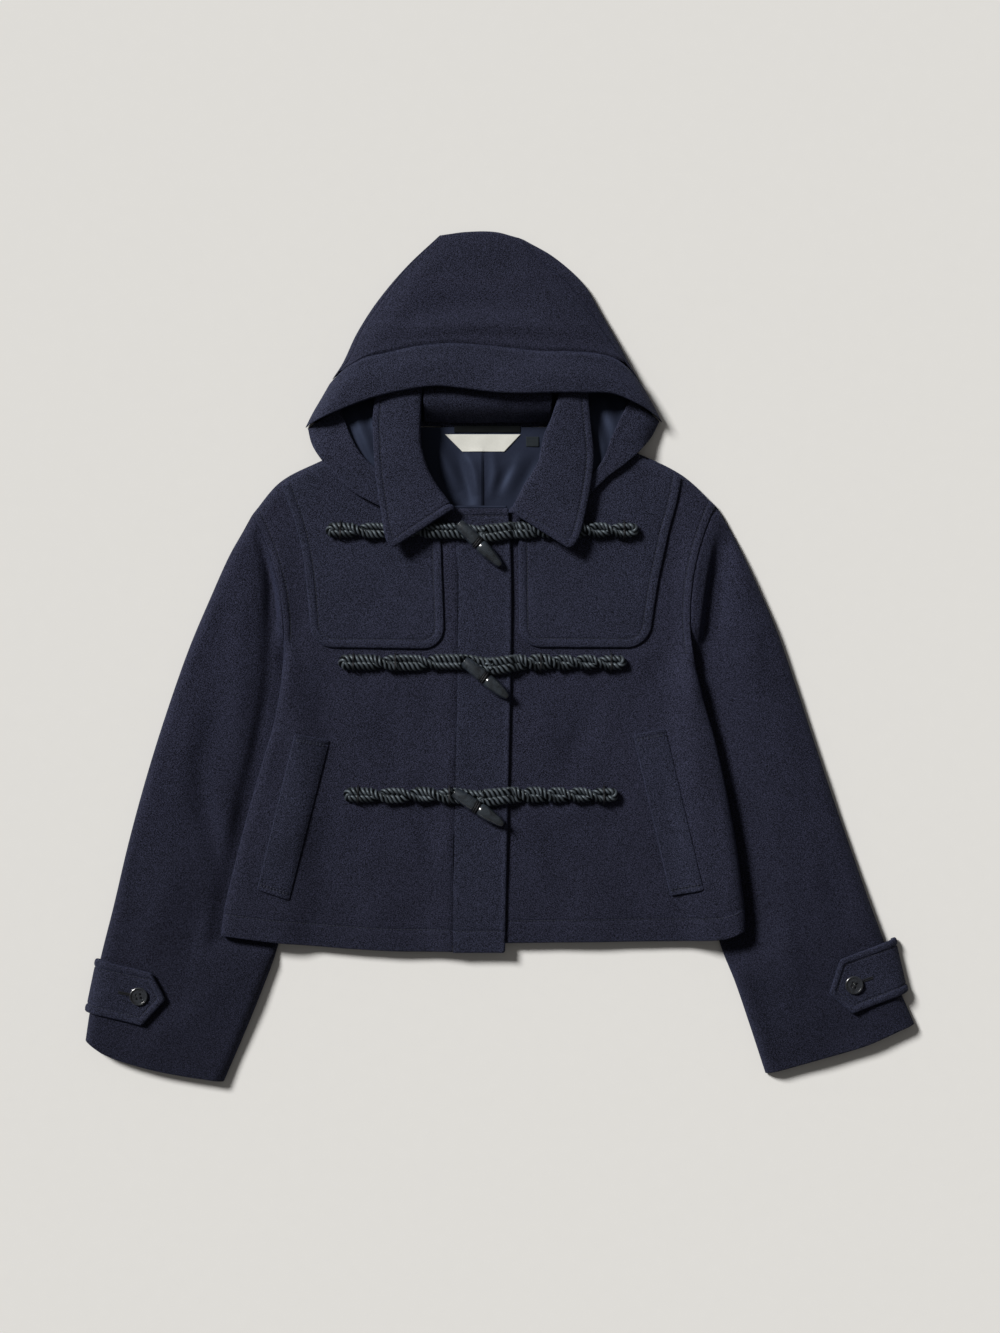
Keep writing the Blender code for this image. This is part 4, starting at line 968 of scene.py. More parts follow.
def shade(red, green, blue):
    """A colour from its screen values, 0 to 255."""
    def linear(value):
        value /= 255.0
        return value / 12.92 if value < 0.04045 else ((value + 0.055) / 1.055) ** 2.4

    return (linear(red), linear(green), linear(blue), 1.0)


def wool_finish(name, dark, light, fall=0.0):
    """Milled wool with a short brushed nap: heathered fibres, a little cloudiness and a soft sheen.

    Painted shade: the colour darkens towards the hem and cuffs by a share, the fall, standing in for the
    light falling off down the coat."""
    wool = Finish(name, Sheen_Weight=0.22, Sheen_Roughness=0.45, Sheen_Tint=shade(92, 104, 150),
                  Specular_IOR_Level=0.12)
    place = wool.place()
    fibres = wool.noise(wool.stretched(place, (1.0, 0.5, 1.0), (0.6, 0.35, 0.5)), 1700.0, 2.0, 0.6)
    crossed = wool.noise(wool.stretched(place, (0.5, 1.0, 1.0), (0.4, 0.7, 0.3)), 1600.0, 2.0, 0.6)
    tufts = wool.noise(wool.stretched(place, (1.0, 1.0, 1.0), (0.5, 0.8, 0.9)), 960.0, 1.0, 0.6)
    cloud = wool.noise(place, 16.0, 2.0, 0.5)
    heather = wool.between(fibres * 0.25 + crossed * 0.25 + tufts * 0.5, 0.39, 0.61)
    up = wool.node("ShaderNodeSeparateXYZ", {}, {"Vector": place}, "Y")
    # painted shade: darker towards the hem and cuffs, by the fall
    painted_hem_shade = wool.between(up, -0.42, 0.05, fall, 0.0)
    colour = wool.mix((heather * 1.25 + cloud * 0.24 - 0.24) * (1.0 - painted_hem_shade), shade(*dark), shade(*light))
    height = fibres * 0.4 + crossed * 0.4 + tufts * 0.8
    return wool.set(Base_Color=colour, Roughness=wool.between(heather, 0, 1, 0.92, 0.8),
                    Normal=wool.bump(height, 1.0, 0.0016))


def satin_finish(name, dark, light):
    satin = Finish(name, Specular_IOR_Level=0.3, Specular_Tint=shade(150, 170, 215))
    place = satin.place()
    warp = satin.noise(satin.stretched(place, (5.0, 0.6, 1.0)), 420.0, 2.0)
    cloud = satin.noise(place, 30.0)
    colour = satin.mix(warp * 0.6 + cloud * 0.4, shade(*dark), shade(*light))
    return satin.set(Base_Color=colour, Roughness=satin.between(warp, 0.3, 0.7, 0.46, 0.58),
                     Normal=satin.bump(warp, 0.15, 0.0003))


def woven_finish(name, dark, light, threads, rough=0.8):
    """A flat weave of straight threads, some thicker than others."""
    woven = Finish(name, Specular_IOR_Level=0.12)
    place = woven.place()
    split = woven.node("ShaderNodeSeparateXYZ", {}, {"Vector": place}, "X")
    across = (split * threads).sine() * 0.5 + 0.5
    rows = woven.node("ShaderNodeSeparateXYZ", {}, {"Vector": place}, "Y")
    along = (rows * threads * 0.8).sine() * 0.5 + 0.5
    uneven = woven.noise(place, 350.0, 2.0)
    weave = across * along * 0.7 + uneven * 0.4
    colour = woven.mix(weave, shade(*dark), shade(*light))
    return woven.set(Base_Color=colour, Roughness=woven.between(uneven, 0.3, 0.7, rough - 0.08, rough + 0.05),
                     Normal=woven.bump(weave, 0.4, 0.0003))


def horn_finish(name, dark, light, rough, gloss):
    """Polished horn: cloudy streaks along the grain, fine scratches, a clear coat."""
    horn = Finish(name, Specular_IOR_Level=gloss, Coat_Roughness=0.1)
    place = horn.place()
    streaks = horn.noise(horn.stretched(place, (1.0, 1.0, 0.6), (0, 0, 0.8)), 130.0, 4.0, 0.6, 0.8)
    scratches = horn.noise(horn.stretched(place, (1.0, 6.0, 1.0), (0, 0, 0.8)), 500.0, 2.0)
    colour = horn.mix(horn.between(streaks, 0.3, 0.7), shade(*dark), shade(*light))
    return horn.set(Base_Color=colour, Roughness=horn.between(scratches, 0.3, 0.7, rough, rough + 0.14),
                    Coat_Weight=horn.between(streaks, 0.2, 0.8, 0.6 * gloss, gloss),
                    Normal=horn.bump(scratches, 0.08, 0.0002))


def rope_finish(name, dark, light):
    """Twisted cord: fine fibres run along each strand, with random wear in the tone. Each strand is painted
    dark where it turns in towards the cord's heart, painted shade for the grooves, and pale on its crest, a
    painted highlight.
    """
    rope = Finish(name, Specular_IOR_Level=0.45, Specular_Tint=shade(200, 215, 220))
    place = rope.strand_place()
    crest = rope.node("ShaderNodeSeparateXYZ", {}, {"Vector": place}, "X")
    fibres = rope.noise(rope.stretched(place, (2.4, 0.35, 1.0)), 6.0, 3.0, 0.6)
    worn = rope.noise(rope.place(), 120.0, 2.0)
    # painted shade in the grooves and painted highlight on the crests, plus random fibres and wear
    painted_groove_shade_and_wear = rope.between(crest, 0.76, 1.0) * 0.9 + (fibres + worn - 1.0) * 0.6
    colour = rope.mix(painted_groove_shade_and_wear.capped(), shade(*dark), shade(*light))
    return rope.set(Base_Color=colour, Roughness=rope.between(worn, 0.3, 0.7, 0.34, 0.46),
                    Normal=rope.bump(fibres, 0.45, 0.0005))


def thread_finish(name, dark, light):
    thread = Finish(name, Specular_IOR_Level=0.4)
    twist = thread.noise(thread.place(), 1600.0, 1.0)
    colour = thread.mix(twist, shade(*dark), shade(*light))
    return thread.set(Base_Color=colour, Roughness=thread.between(twist, 0.3, 0.7, 0.5, 0.7),
                      Normal=thread.bump(twist, 0.3, 0.0002))


def floor_finish():
    floor = Finish("studio_floor", Specular_IOR_Level=0.1)
    grain = floor.noise(floor.place(), 60.0, 2.0)
    colour = floor.mix(grain, shade(*FLOOR_COLOUR), shade(*FLOOR_COLOUR_PALE))
    return floor.set(Base_Color=colour, Roughness=floor.between(grain, 0.3, 0.7, 0.85, 0.95))


FLOOR_COLOUR = (227, 226, 223)
FLOOR_COLOUR_PALE = (229, 228, 225)
# the last number of a wool is its share of painted shade towards the hem and cuffs
WOOL_FINISH = wool_finish("navy_duffle_wool", (6, 7, 13), (60, 63, 84), 0.2)
# a darker copy of the wool for the sleeves, painted shade, with more painted shade towards the cuffs
SLEEVE_SHADE_WOOL_FINISH = wool_finish("navy_duffle_wool_sleeve_painted_shade", (4, 5, 10), (56, 58, 79), 0.36)
# a darker copy of the wool for the crown and hood sides: painted shade
HOOD_SHADE_WOOL_FINISH = wool_finish("navy_duffle_wool_hood_painted_shade", (5, 6, 11), (54, 56, 76))
# a little darker copy of the wool for the fronts, with more painted shade towards the hem
FRONT_FINISH = wool_finish("navy_duffle_wool_front", (5, 6, 11), (58, 60, 81), 0.25)
SATIN_FINISH = satin_finish("lining_satin", (26, 29, 41), (44, 49, 65))
# near-black: the braid's own dark colour and painted shade for the hood rim's shadow over it
HANGER_BRAID_AND_SHADE_FINISH = woven_finish("hanger_braid_painted_shade", (6, 8, 10), (16, 20, 22), 5200.0)
TAB_FINISH = woven_finish("size_tab_cloth", (26, 31, 35), (50, 56, 61), 5200.0)
LABEL_FINISH = woven_finish("ivory_label_cloth", (206, 206, 198), (232, 232, 226), 7800.0, 0.7)
TOGGLE_FINISH = horn_finish("toggle_horn", (17, 21, 26), (49, 57, 65), 0.22, 0.9)
BUTTON_FINISH = horn_finish("button_horn", (17, 19, 23), (42, 46, 53), 0.22, 0.8)
# the dark end is the painted shade of the grooves, the light end the painted highlight of the crests
ROPE_FINISH = rope_finish("charcoal_rope", (5, 6, 8), (80, 87, 94))
THREAD_FINISH = thread_finish("sewing_thread", (28, 31, 43), (46, 50, 66))
TACK_FINISH = thread_finish("tacking_thread", (10, 11, 15), (26, 28, 34))


# ---- body -------------------------------------------------------------------------------
SIDES = ((-1, "r"), (1, "l"))


def side_line(side, inset):
    """Side seam and armhole in one line, from the hem up."""
    seam = Line([(x - side * inset, y) for y, x, _ in SIDE[side][1:]])
    return joined(seam, arm_line(side, inset))


def rightwards(side, points):
    """Points listed from a sleeve to the middle, put in order from left to right."""
    return points if side < 0 else back_to_front(points)


def fronts():
    for side, suffix in SIDES:
        edge, centre = side_line(side, 0.0), Line(CENTRE[side])
        left, right = (edge, centre) if side < 0 else (centre, edge)
        beside_rows = (STITCHED, PLAIN) if side < 0 else (PLAIN, STITCHED)
        cut = panel(left, right, Line(rightwards(side, HEM[side])), Line(rightwards(side, SHOULDER[side])),
                    4.2, (*beside_rows, HEMMED, ROLL))
        armhole = stitched(cut.edge["left" if side < 0 else "right"], STITCH_INSET)
        armhole = armhole * smooth((cut.y - SIDE[side][-1][0] - 6.0) / 14.0)
        top = front_face(side, cut.x, cut.y) + armhole
        laid("front_" + suffix, cut, top, front_inside(side, cut.x, cut.y), FRONT_FINISH, "wool",
             ("front_" + suffix,), sewn=("right",) if side < 0 else ())


def back():
    shoulders = [Line(points).moved(-FOLD_INSET) for points in (SHOULDER[-1], back_to_front(SHOULDER[1]))]
    neck = [(*shoulders[0].points[-1][:2],), (-113, 249.9), (73, 249.9), (*shoulders[1].points[0][:2],)]
    high = joined(shoulders[0], Line(neck, sharp=True), shoulders[1])
    cut = panel(side_line(-1, FOLD_INSET), side_line(1, FOLD_INSET), Line(HEM_BACK), high,
                7.0, (PLAIN, PLAIN, HEMMED, PLAIN))
    raised = np.where(cut.x < 0, lift(-1, cut.x, cut.y), lift(1, cut.x, cut.y))
    laid("back", cut, raised + WOOL, raised + FLOOR_GAP, WOOL_FINISH, "wool", ("back",))


def placket():
    centre = Line(CENTRE[-1]).points
    seam = Line([(np.interp(y, centre[:, 1], centre[:, 0]) + PLACKET_CLEAR, y) for y, _, _ in PLACKET_ROWS])
    free = Line([(x, y) for y, _, x in PLACKET_ROWS])
    low, high = straight(seam.at(0.0)[:2], free.at(0.0)[:2]), straight(seam.at(1.0)[:2], free.at(1.0)[:2])
    rows = (PLAIN, stitch_rows(PLACKET_BAND), HEMMED, stitch_rows(NECK_INSET))
    cut = panel(seam, free, low, high, 4.2, rows, (0, 3, 3, 0))
    band = PLACKET_SWELL * np.exp(-((cut.edge["right"] - 0.45 * PLACKET_BAND) / (0.4 * PLACKET_BAND)) ** 2)
    relief = band - groove(cut.edge["low"], HEM_INSET) + stitched(cut.edge["high"], NECK_INSET)
    top = placket_face(cut.x, cut.y) + relief
    laid("placket", cut, top, placket_face(cut.x, cut.y) - COLLAR_WALL, WOOL_FINISH, "wool", ("placket",),
         1.45, ("left",))
    piping_line = high.at(np.linspace(0.02, 0.97, 30))
    piping_line[:, 1] += 1.0
    piping_line[:, 2] = placket_face(piping_line[:, 0], piping_line[:, 1]) - 1.4
    tube("neck_piping", piping_line, PIPING_RADIUS, 10, SATIN_FINISH, "lining")


def yokes():
    for side, suffix in SIDES:
        table = YOKE[side]
        outer, inner = Line(back_to_front(table["outer"])), Line(back_to_front(table["inner"]))
        left, right = (outer, inner) if side < 0 else (inner, outer)
        low = straight(left.at(0.0)[:2], right.at(0.0)[:2])
        cut = panel(left, right, low, Line(rightwards(side, table["top"])), 4.2,
                    (STITCHED, STITCHED, STITCHED, PLAIN), (YOKE_CORNER, YOKE_CORNER, 0, 0))
        under = front_face(side, cut.x, cut.y)
        relief = stitched(cut.inside("left", "right", "low"), STITCH_INSET, PUFF + 0.2)
        laid("yoke_" + suffix, cut, under + 0.35 + WOOL + relief, under + 0.3, WOOL_FINISH, "wool",
             ("yoke_" + suffix,))


def welts():
    for side, suffix in SIDES:
        cut = plate(WELT[side], 4.0, (PLAIN, PLAIN, stitch_rows(WELT_STITCH), stitch_rows(WELT_STITCH)),
                    (2.5,) * 4)
        under = front_face(side, cut.x, cut.y)
        ends = np.minimum(cut.edge["low"], cut.edge["high"])
        swell = WELT_SWELL * smooth(cut.inside("left", "right") / 9.0)
        swell = swell - WELT_SOFT * np.exp(-(cut.edge["right"] / 3.0) ** 2)
        swell = swell + 0.5 * WELT_SOFT * np.exp(-((cut.edge["left"] - 1.6) / 1.6) ** 2)
        relief = swell - groove(ends, WELT_STITCH)
        laid("welt_" + suffix, cut, under + 0.4 + WELT_WALL + relief, under + 0.3, WOOL_FINISH, "wool",
             ("welt_" + suffix,))


# ---- sleeves ----------------------------------------------------------------------------
def sleeve(side, suffix):
    """One flattened tube, open at the cuff and at the armhole."""
    inner, outer = Line(back_to_front(SLEEVE[side]["inner"])), Line(back_to_front(SLEEVE[side]["outer"]))
    cuff, arm = Line(SLEEVE[side]["cuff"]), arm_line(side, -ARM_SEAM)

    def plan(share, v):
        """Rows run straight from fold to fold, and take the bow of the armhole or cuff at the ends."""
        s, t = share[..., None], v[..., None]
        row = inner.at(v) * (1 - s) + outer.at(v) * s
        arm_bow = arm.at(share) - inner.at(1.0) * (1 - s) - outer.at(1.0) * s
        cuff_bow = cuff.at(share) - inner.at(0.0) * (1 - s) - outer.at(0.0) * s
        return row + arm_bow * t ** BOW_FADE + cuff_bow * (1.0 - t) ** BOW_FADE

    outside = Panel(plan, *measured(plan), 4.4, (ROLL, ROLL, HEMMED, ARM_ROWS))
    width = outside.edge["left"] + outside.edge["right"]
    share = outside.edge["left"] / width
    height = outside.edge["low"] + outside.edge["high"]
    v = outside.edge["low"] / height
    within = plan((WOOL + share * (width - 2 * WOOL)) / width, v)
    fall = edge_round(outside.edge["low"], 0.49 * WOOL)
    fall = fall + SEAM_DIP * np.exp(-(outside.edge["high"] / SEAM_SOFT) ** 2)

    def shell(points, upper, lower, sign):
        top, bottom = points.copy(), points.copy()
        top[..., 2] = np.maximum(upper - sign * fall, SLEEVE_FOLD)
        bottom[..., 2] = np.minimum(lower + sign * fall, SLEEVE_FOLD)
        return top, np.concatenate((top, bottom[:, -2:0:-1]), axis=1)

    x, y = outside.x, outside.y
    face, outer_ring = shell(outside.points, sleeve_face(side, x, y), sleeve_under(side, x, y), 1)
    x, y = within[..., 0], within[..., 1]
    inner_ring = shell(within, sleeve_face(side, x, y, WOOL), sleeve_under(side, x, y, WOOL), -1)[1]
    rows, around = outer_ring.shape[:2]
    i = np.arange(rows * around).reshape(rows, around)
    j = np.roll(i, -1, axis=1)
    count = rows * around
    walls = [np.stack((i[:-1], j[:-1], j[1:], i[1:]), -1).reshape(-1, 4)]
    walls.append(walls[0][:, ::-1] + count)
    walls.append(np.stack((i[0] + count, j[0] + count, j[0], i[0]), -1))
    walls.append(np.stack((i[-1], j[-1], j[-1] + count, i[-1] + count), -1))
    points = np.concatenate((outer_ring.reshape(-1, 3), inner_ring.reshape(-1, 3)))
    name = "sleeve_" + suffix
    FACES[name] = face
    # the sleeves take the darker copy of the wool: painted shade
    add_mesh(name, points, np.concatenate(walls), SLEEVE_SHADE_WOOL_FINISH, "wool",
             ("sleeve_top_" + suffix, "sleeve_under_" + suffix))


def cuff_tab(side, suffix):
    """A pointed tab whose end is rolled round the sleeve's outer fold."""
    low_out, high_out = (Vector(p) for p in TAB[side]["outer"])
    low_in, high_in = (Vector(p) for p in TAB[side]["shoulders"])
    point = Vector(TAB[side]["point"])
    across = np.linspace(0.0, 1.0, 61)
    tip = Line((low_in, point, high_in), sharp=True)
    sections = []
    for w in across:
        fold = low_out.lerp(high_out, w)
        end = Vector(tip.at(w)[:2])
        along = (end - fold).normalized()
        top = float(sleeve_face(side, *(np.array([v]) for v in fold + along * FOLD_RADIUS))[0])
        row = []
        for degrees in range(-40, 90, 10):
            a = math.radians(degrees)
            out = TAB_LIE + TAB_BULK * math.cos(a) ** 2
            reach = FOLD_RADIUS - (FOLD_RADIUS + out) * math.cos(a)
            rise = (top - SLEEVE_FOLD if degrees > 0 else SLEEVE_FOLD - 0.5) + out * (degrees > 0)
            place = fold + along * reach
            row.append((place.x, place.y, SLEEVE_FOLD + rise * math.sin(a)))
        length = (end - fold).length
        flat = np.linspace(FOLD_RADIUS, length, 16)
        x, y = fold.x + along.x * flat, fold.y + along.y * flat
        z = sleeve_face(side, x, y) + TAB_LIE + TAB_CURL * smooth((flat / length - 0.55) / 0.45)
        row += [tuple(p) for p in np.stack((x, y, z), -1)]
        sections.append(Line(row, sharp=True))

    surface = through(sections)
    rows = (PLAIN, stitch_rows(TAB_INSET), stitch_rows(TAB_INSET), stitch_rows(TAB_INSET))
    cut = Panel(surface, *measured(surface), 3.2, rows, (0, 2.0, 2.0, 0))
    relief = stitched(cut.inside("right", "low", "high"), TAB_INSET, 1.8 * PUFF)
    normal = normals_of(cut.points)
    normal *= np.sign(normal[..., 2].mean())
    ribbon("cuff_tab_" + suffix, cut, TAB_WALL, relief, WOOL_FINISH, "wool", ("cuff_tab_" + suffix,), normal)


# ---- hood -------------------------------------------------------------------------------
def hood():
    seam_r, seam_l = Line(CROWN_SEAM[-1]), Line(CROWN_SEAM[1])
    start, end = CROWN_SEAM[-1][0], CROWN_SEAM[1][0]
    middle = [(x, y + RIM_CLEAR) for x, y in RIM_SEAM if start[0] < x < end[0]]
    high = Line((CROWN_SEAM[-1][-1], *HOOD_TOP[1:-1], CROWN_SEAM[1][-1]))
    swelled = (*PLAIN, 5.5, 8.0, 11.0)
    cut = panel(seam_r, seam_l, Line((start, *middle, end)), high, 4.4, (swelled, swelled, swelled, ROLL))
    relief = SEAM_SWELL * (np.exp(-((cut.edge["low"] - 4.5) / 3.5) ** 2)
                           + 0.6 * np.exp(-((cut.inside("left", "right") - 3.5) / 3.0) ** 2))
    # the crown and hood sides take the darker copy of the wool: painted shade
    laid("hood_crown", cut, hood_face(cut.x, cut.y) + relief, hood_inside(cut.x, cut.y), HOOD_SHADE_WOOL_FINISH,
         "wool", ("hood_crown",), sewn=("left", "right", "low"))
    for side, suffix in SIDES:
        seam = Line([(x + side * SIDE_CLEAR, y + 0.3 * SIDE_CLEAR) for x, y in CROWN_SEAM[side]])
        outline = Line(HOOD_OUTLINE[side])
        left, right = (outline, seam) if side < 0 else (seam, outline)
        ends = (straight(left.at(0.0)[:2], right.at(0.0)[:2]), straight(left.at(1.0)[:2], right.at(1.0)[:2]))
        cut = panel(left, right, *ends, 4.0, (PLAIN, PLAIN, PLAIN, PLAIN))
        laid("hood_side_" + suffix, cut, hood_face(cut.x, cut.y), hood_inside(cut.x, cut.y), HOOD_SHADE_WOOL_FINISH,
             "wool", ("hood_side_" + suffix,), sewn=("right" if side < 0 else "left", "low", "high"))
    rim()
    left = Line(((-206, 224), (-211, 250), *RIM_END[-1][2:], *HOOD_OUTLINE[-1][1:])).moved(-FOLD_INSET)
    right = Line(((156, 228), (170, 254), *RIM_END[1][2:], *HOOD_OUTLINE[1][1:])).moved(FOLD_INSET)
    low = Line(((-206, 224), (-160, 236), (-116, 251.6), (-20, 250.5), (76, 251.6), (113, 242), (156, 228)))
    cut = panel(left, right, low, Line(HOOD_TOP).moved(-FOLD_INSET), 8.0)
    flat = np.full(cut.x.shape, WOOL)
    laid("hood_back", cut, flat, flat * 0 + FLOOR_GAP, WOOL_FINISH, "wool", ("hood_back",))


def rim():
    """The hood's front band: double cloth, a little proud, convex, with a rolled lower edge."""
    swelled = (*PLAIN, 5.5, 8.0, 11.0)
    cut = panel(Line(RIM_END[-1]), Line(RIM_END[1]), Line(RIM_EDGE), Line(RIM_SEAM), 4.4,
                (ROLL, ROLL, swelled, swelled))
    share = cut.edge["low"] / (cut.edge["low"] + cut.edge["high"])
    level = hood_face(cut.x, cut.y) + RIM_PROUD
    swell = RIM_SWELL * np.sin(np.pi * np.clip(share * 0.9 + 0.1, 0, 1)) ** 0.7
    swell = swell + SEAM_SWELL * np.exp(-((cut.edge["high"] - 4.5) / 3.5) ** 2)
    swell = swell * smooth(cut.inside("left", "right") / 20.0)
    fold = smooth(OUTLINE.near(cut.x, cut.y)[0] / RIM_WALL)
    bottom = (level - RIM_WALL) * fold + 0.3 * (1 - fold)
    laid("hood_rim", cut, level + swell, bottom, WOOL_FINISH, "wool", ("hood_rim",), 1.95, ("high",))


def strip_panel(rows, step, bulge, stitch):
    """A strip between the two 3-D edges of a table, which may rise from its outer edge like a fold."""
    outer, inner = Line([row[:3] for row in rows]), Line([row[3:] for row in rows])

    def surface(u, v):
        a, b = outer.at(v), inner.at(v)
        found = a * (1 - u[..., None]) + b * u[..., None]
        found[..., 2] = a[..., 2] + (b[..., 2] - a[..., 2]) * (rounded(u, 0.55) if bulge else u)
        return found

    return Panel(surface, *measured(surface), step, (PLAIN, stitch, PLAIN, PLAIN))


def hood_flanks():
    for side, suffix in SIDES:
        rows = back_to_front(FLANK[side]) if side < 0 else FLANK[side]
        cut = strip_panel(rows, 3.5, True, stitch_rows(6.5))
        relief = 0.5 * np.sin(cut.y / 7.0 + cut.x / 15.0) + 0.6 * np.exp(-((cut.edge["right"] - 3) / 3) ** 2)
        ribbon("hood_flank_" + suffix, cut, WOOL, relief, WOOL_FINISH, "wool", ("hood_flank_" + suffix,))
        rows = back_to_front(HOOD_LINING[side]) if side < 0 else HOOD_LINING[side]
        cut = strip_panel(rows, 3.0, False, PLAIN)
        relief = 1.3 * np.sin(cut.x / 3.4 + cut.y / 9.0) * smooth(cut.inside() / 8.0)
        ribbon("hood_lining_" + suffix, cut, SATIN, relief, SATIN_FINISH, "lining",
               ("hood_lining_" + suffix,))


# ---- collar -----------------------------------------------------------------------------
def collar_section(foot, roll, edge):
    """The line across a collar leaf, from its neck seam up over the roll and out to its edge."""
    along = np.array((foot[0] - roll[0], foot[1] - roll[1], 0.0))
    along /= np.linalg.norm(along)
    up = np.array((0.0, 0.0, 1.0))
    middle = roll - up * COLLAR_ROLL + along * COLLAR_ROLL
    start = middle - up * COLLAR_ROLL
    points = [foot, foot + 0.55 * (start - foot) - 0.4 * up]
    for degrees in range(-90, 91, 15):
        a = math.radians(degrees)
        points.append(middle - along * COLLAR_ROLL * math.cos(a) + up * COLLAR_ROLL * math.sin(a))
    top = points[-1]
    for share in np.linspace(0.08, 1.0, 12):
        points.append(top + (edge - top) * share + up * COLLAR_SWELL * 4 * share * (1 - share))
    return Line(points, sharp=True)


def collar():
    for side, suffix in SIDES:
        rows = COLLAR[side]
        feet, rolls = Line([row[:3] for row in rows]), Line([row[3:6] for row in rows])
        edges = Line([row[6:] for row in rows])
        sections = [collar_section(feet.at(v), rolls.at(v), edges.at(v)) for v in np.linspace(0, 1, 121)]
        surface = through(sections)
        stitch = stitch_rows(COLLAR_INSET)
        cut = Panel(surface, *measured(surface), 3.6, (PLAIN, stitch, stitch, PLAIN), (0, 5.0, 0, 0))
        relief = stitched(cut.inside("right", "low"), COLLAR_INSET, PUFF + 0.2)
        relief = relief + ripple(cut.x, cut.y) * smooth(cut.edge["left"] / 30.0)
        normal = normals_of(cut.points) * (1 if side < 0 else -1)
        normal = -normal if normal[:, -5, 2].mean() < 0 else normal
        ribbon("collar_" + suffix, cut, COLLAR_WALL, relief, WOOL_FINISH, "wool", ("collar_" + suffix,),
               normal)

    stand = Line([(0.0, y, z) for y, z in COLLAR_BACK])

    def surface(u, v):
        found = stand.at(v)
        found[..., 0] = COLLAR_BACK_X[0] + (COLLAR_BACK_X[1] - COLLAR_BACK_X[0]) * u
        return found

    cut = Panel(surface, *measured(surface), 5.0, (PLAIN,) * 4)
    ribbon("collar_back", cut, COLLAR_WALL, ripple(cut.x, cut.y), WOOL_FINISH, "wool", ("collar_back",))


# ---- inside the neck --------------------------------------------------------------------
def lining_face(x, y):
    """The lining with its pleat, which opens towards the hem."""
    below = smooth((PLEAT_TOP + 12 - y) / 50.0)
    pleat = PLEAT_RISE * smooth(1.0 - np.abs(x - PLEAT_X + 5) / 13.0) * below
    step = PLEAT_STEP * smooth((PLEAT_X - x) / 0.7 + 0.5)
    step = step * smooth((x - PLEAT_X + 26) / 22) * smooth((232 - y) / 20)
    return WOOL + SEAM + SATIN + pleat + step + crease_sum(LINING_CREASES, x, y)


def neck_inside():
    (x0, x1), (y0, y1) = NECK_X, NECK_Y
    cut = plate(((x0, y0), (x1, y0), (x1, y1), (x0, y1)), 1.5)
    top = lining_face(cut.x, cut.y)
    laid("neck_lining", cut, top, top - SATIN, SATIN_FINISH, "lining", ("neck_lining",), 0.5)
    for name, corners, finish, slot in (("hanger_band", HANGER, HANGER_BRAID_AND_SHADE_FINISH, "braid"),
                                        ("label", LABEL, LABEL_FINISH, "label"),
                                        ("size_tab", SIZE_TAB, TAB_FINISH, "braid")):
        cut = plate(corners, 2.0)
        under = lining_face(cut.x, cut.y)
        wave = 0.25 * np.sin(cut.x / 5.0) * smooth((cut.edge["high"]) / 8.0)
        laid(name, cut, under + 0.15 + TAPE + wave, under + 0.15, finish, slot, (name,), 0.38)


# ---- cords ------------------------------------------------------------------------------
def frames_of(path):
    """Directions along a path, and two across it that turn with it as little as they can."""
    along = np.gradient(path, axis=0)
    along /= np.linalg.norm(along, axis=1, keepdims=True)
    side = np.empty_like(path)
    first = np.array((-along[0, 1], along[0, 0], 0.0))
    if np.linalg.norm(first) < 0.1:
        first = np.array((1.0, 0.0, 0.0))
    side[0] = first / np.linalg.norm(first)
    for k in range(1, len(path)):
        turned = side[k - 1] - along[k] * side[k - 1].dot(along[k])
        side[k] = turned / np.linalg.norm(turned)
    return along, side, np.cross(along, side)


def swept(path, radius, sides):
    """Points, quads and strand places of a tube along a path."""
    _, side, up = frames_of(path)
    angle = 2 * np.pi * np.arange(sides) / sides
    radius = np.broadcast_to(radius, (len(path),))[:, None, None]
    ring = side[:, None] * np.cos(angle)[None, :, None] + up[:, None] * np.sin(angle)[None, :, None]
    points = (path[:, None] + radius * ring).reshape(-1, 3)
    i = np.arange(len(path) * sides).reshape(len(path), sides)
    j = np.roll(i, -1, axis=1)
    faces = np.stack((i[:-1], j[:-1], j[1:], i[1:]), -1).reshape(-1, 4)
    place = run_of(path)
    u = np.broadcast_to(np.arange(sides)[None, :] / sides, (len(path) - 1, sides))
    v0 = np.broadcast_to(place[:-1, None], u.shape) / 10.0
    v1 = np.broadcast_to(place[1:, None], u.shape) / 10.0
    after = u + 1.0 / sides
    uvs = np.stack((np.stack((u, v0), -1), np.stack((after, v0), -1), np.stack((after, v1), -1),
                    np.stack((u, v1), -1)), -2).reshape(-1, 4, 2)
    for first, flip in ((0, True), ((len(path) - 1) * sides, False)):
        middle = np.concatenate((path[:1], path[-1:]))[int(not flip)]
        points = np.concatenate((points, middle[None]))
        centre = len(points) - 1
        for k in range(0, sides - 1, 2):
            a, b, c = first + k, first + k + 1, first + (k + 2) % sides
            quad = [centre, c, b, a] if flip else [centre, a, b, c]
            faces = np.concatenate((faces, [quad]))
            uvs = np.concatenate((uvs, [[(0, 0)] * 4]))
    return points, faces, uvs


def tube(name, path, radius, sides, finish, slot, nodes=()):
    points, faces, uvs = swept(np.asarray(path, float), radius, sides)
    return add_mesh(name, points, faces, finish, slot, nodes, uvs)


def gathered(name, parts, finish, slot, nodes=()):
    """One piece from many tubes, each a tuple of points, quads and strand places."""
    points, faces, uvs, count = [], [], [], 0
    for some, quads, places in parts:
        points.append(some)
        faces.append(quads + count)
        uvs.append(places)
        count += len(some)
    return add_mesh(name, np.concatenate(points), np.concatenate(faces), finish, slot, nodes,
                    np.concatenate(uvs))


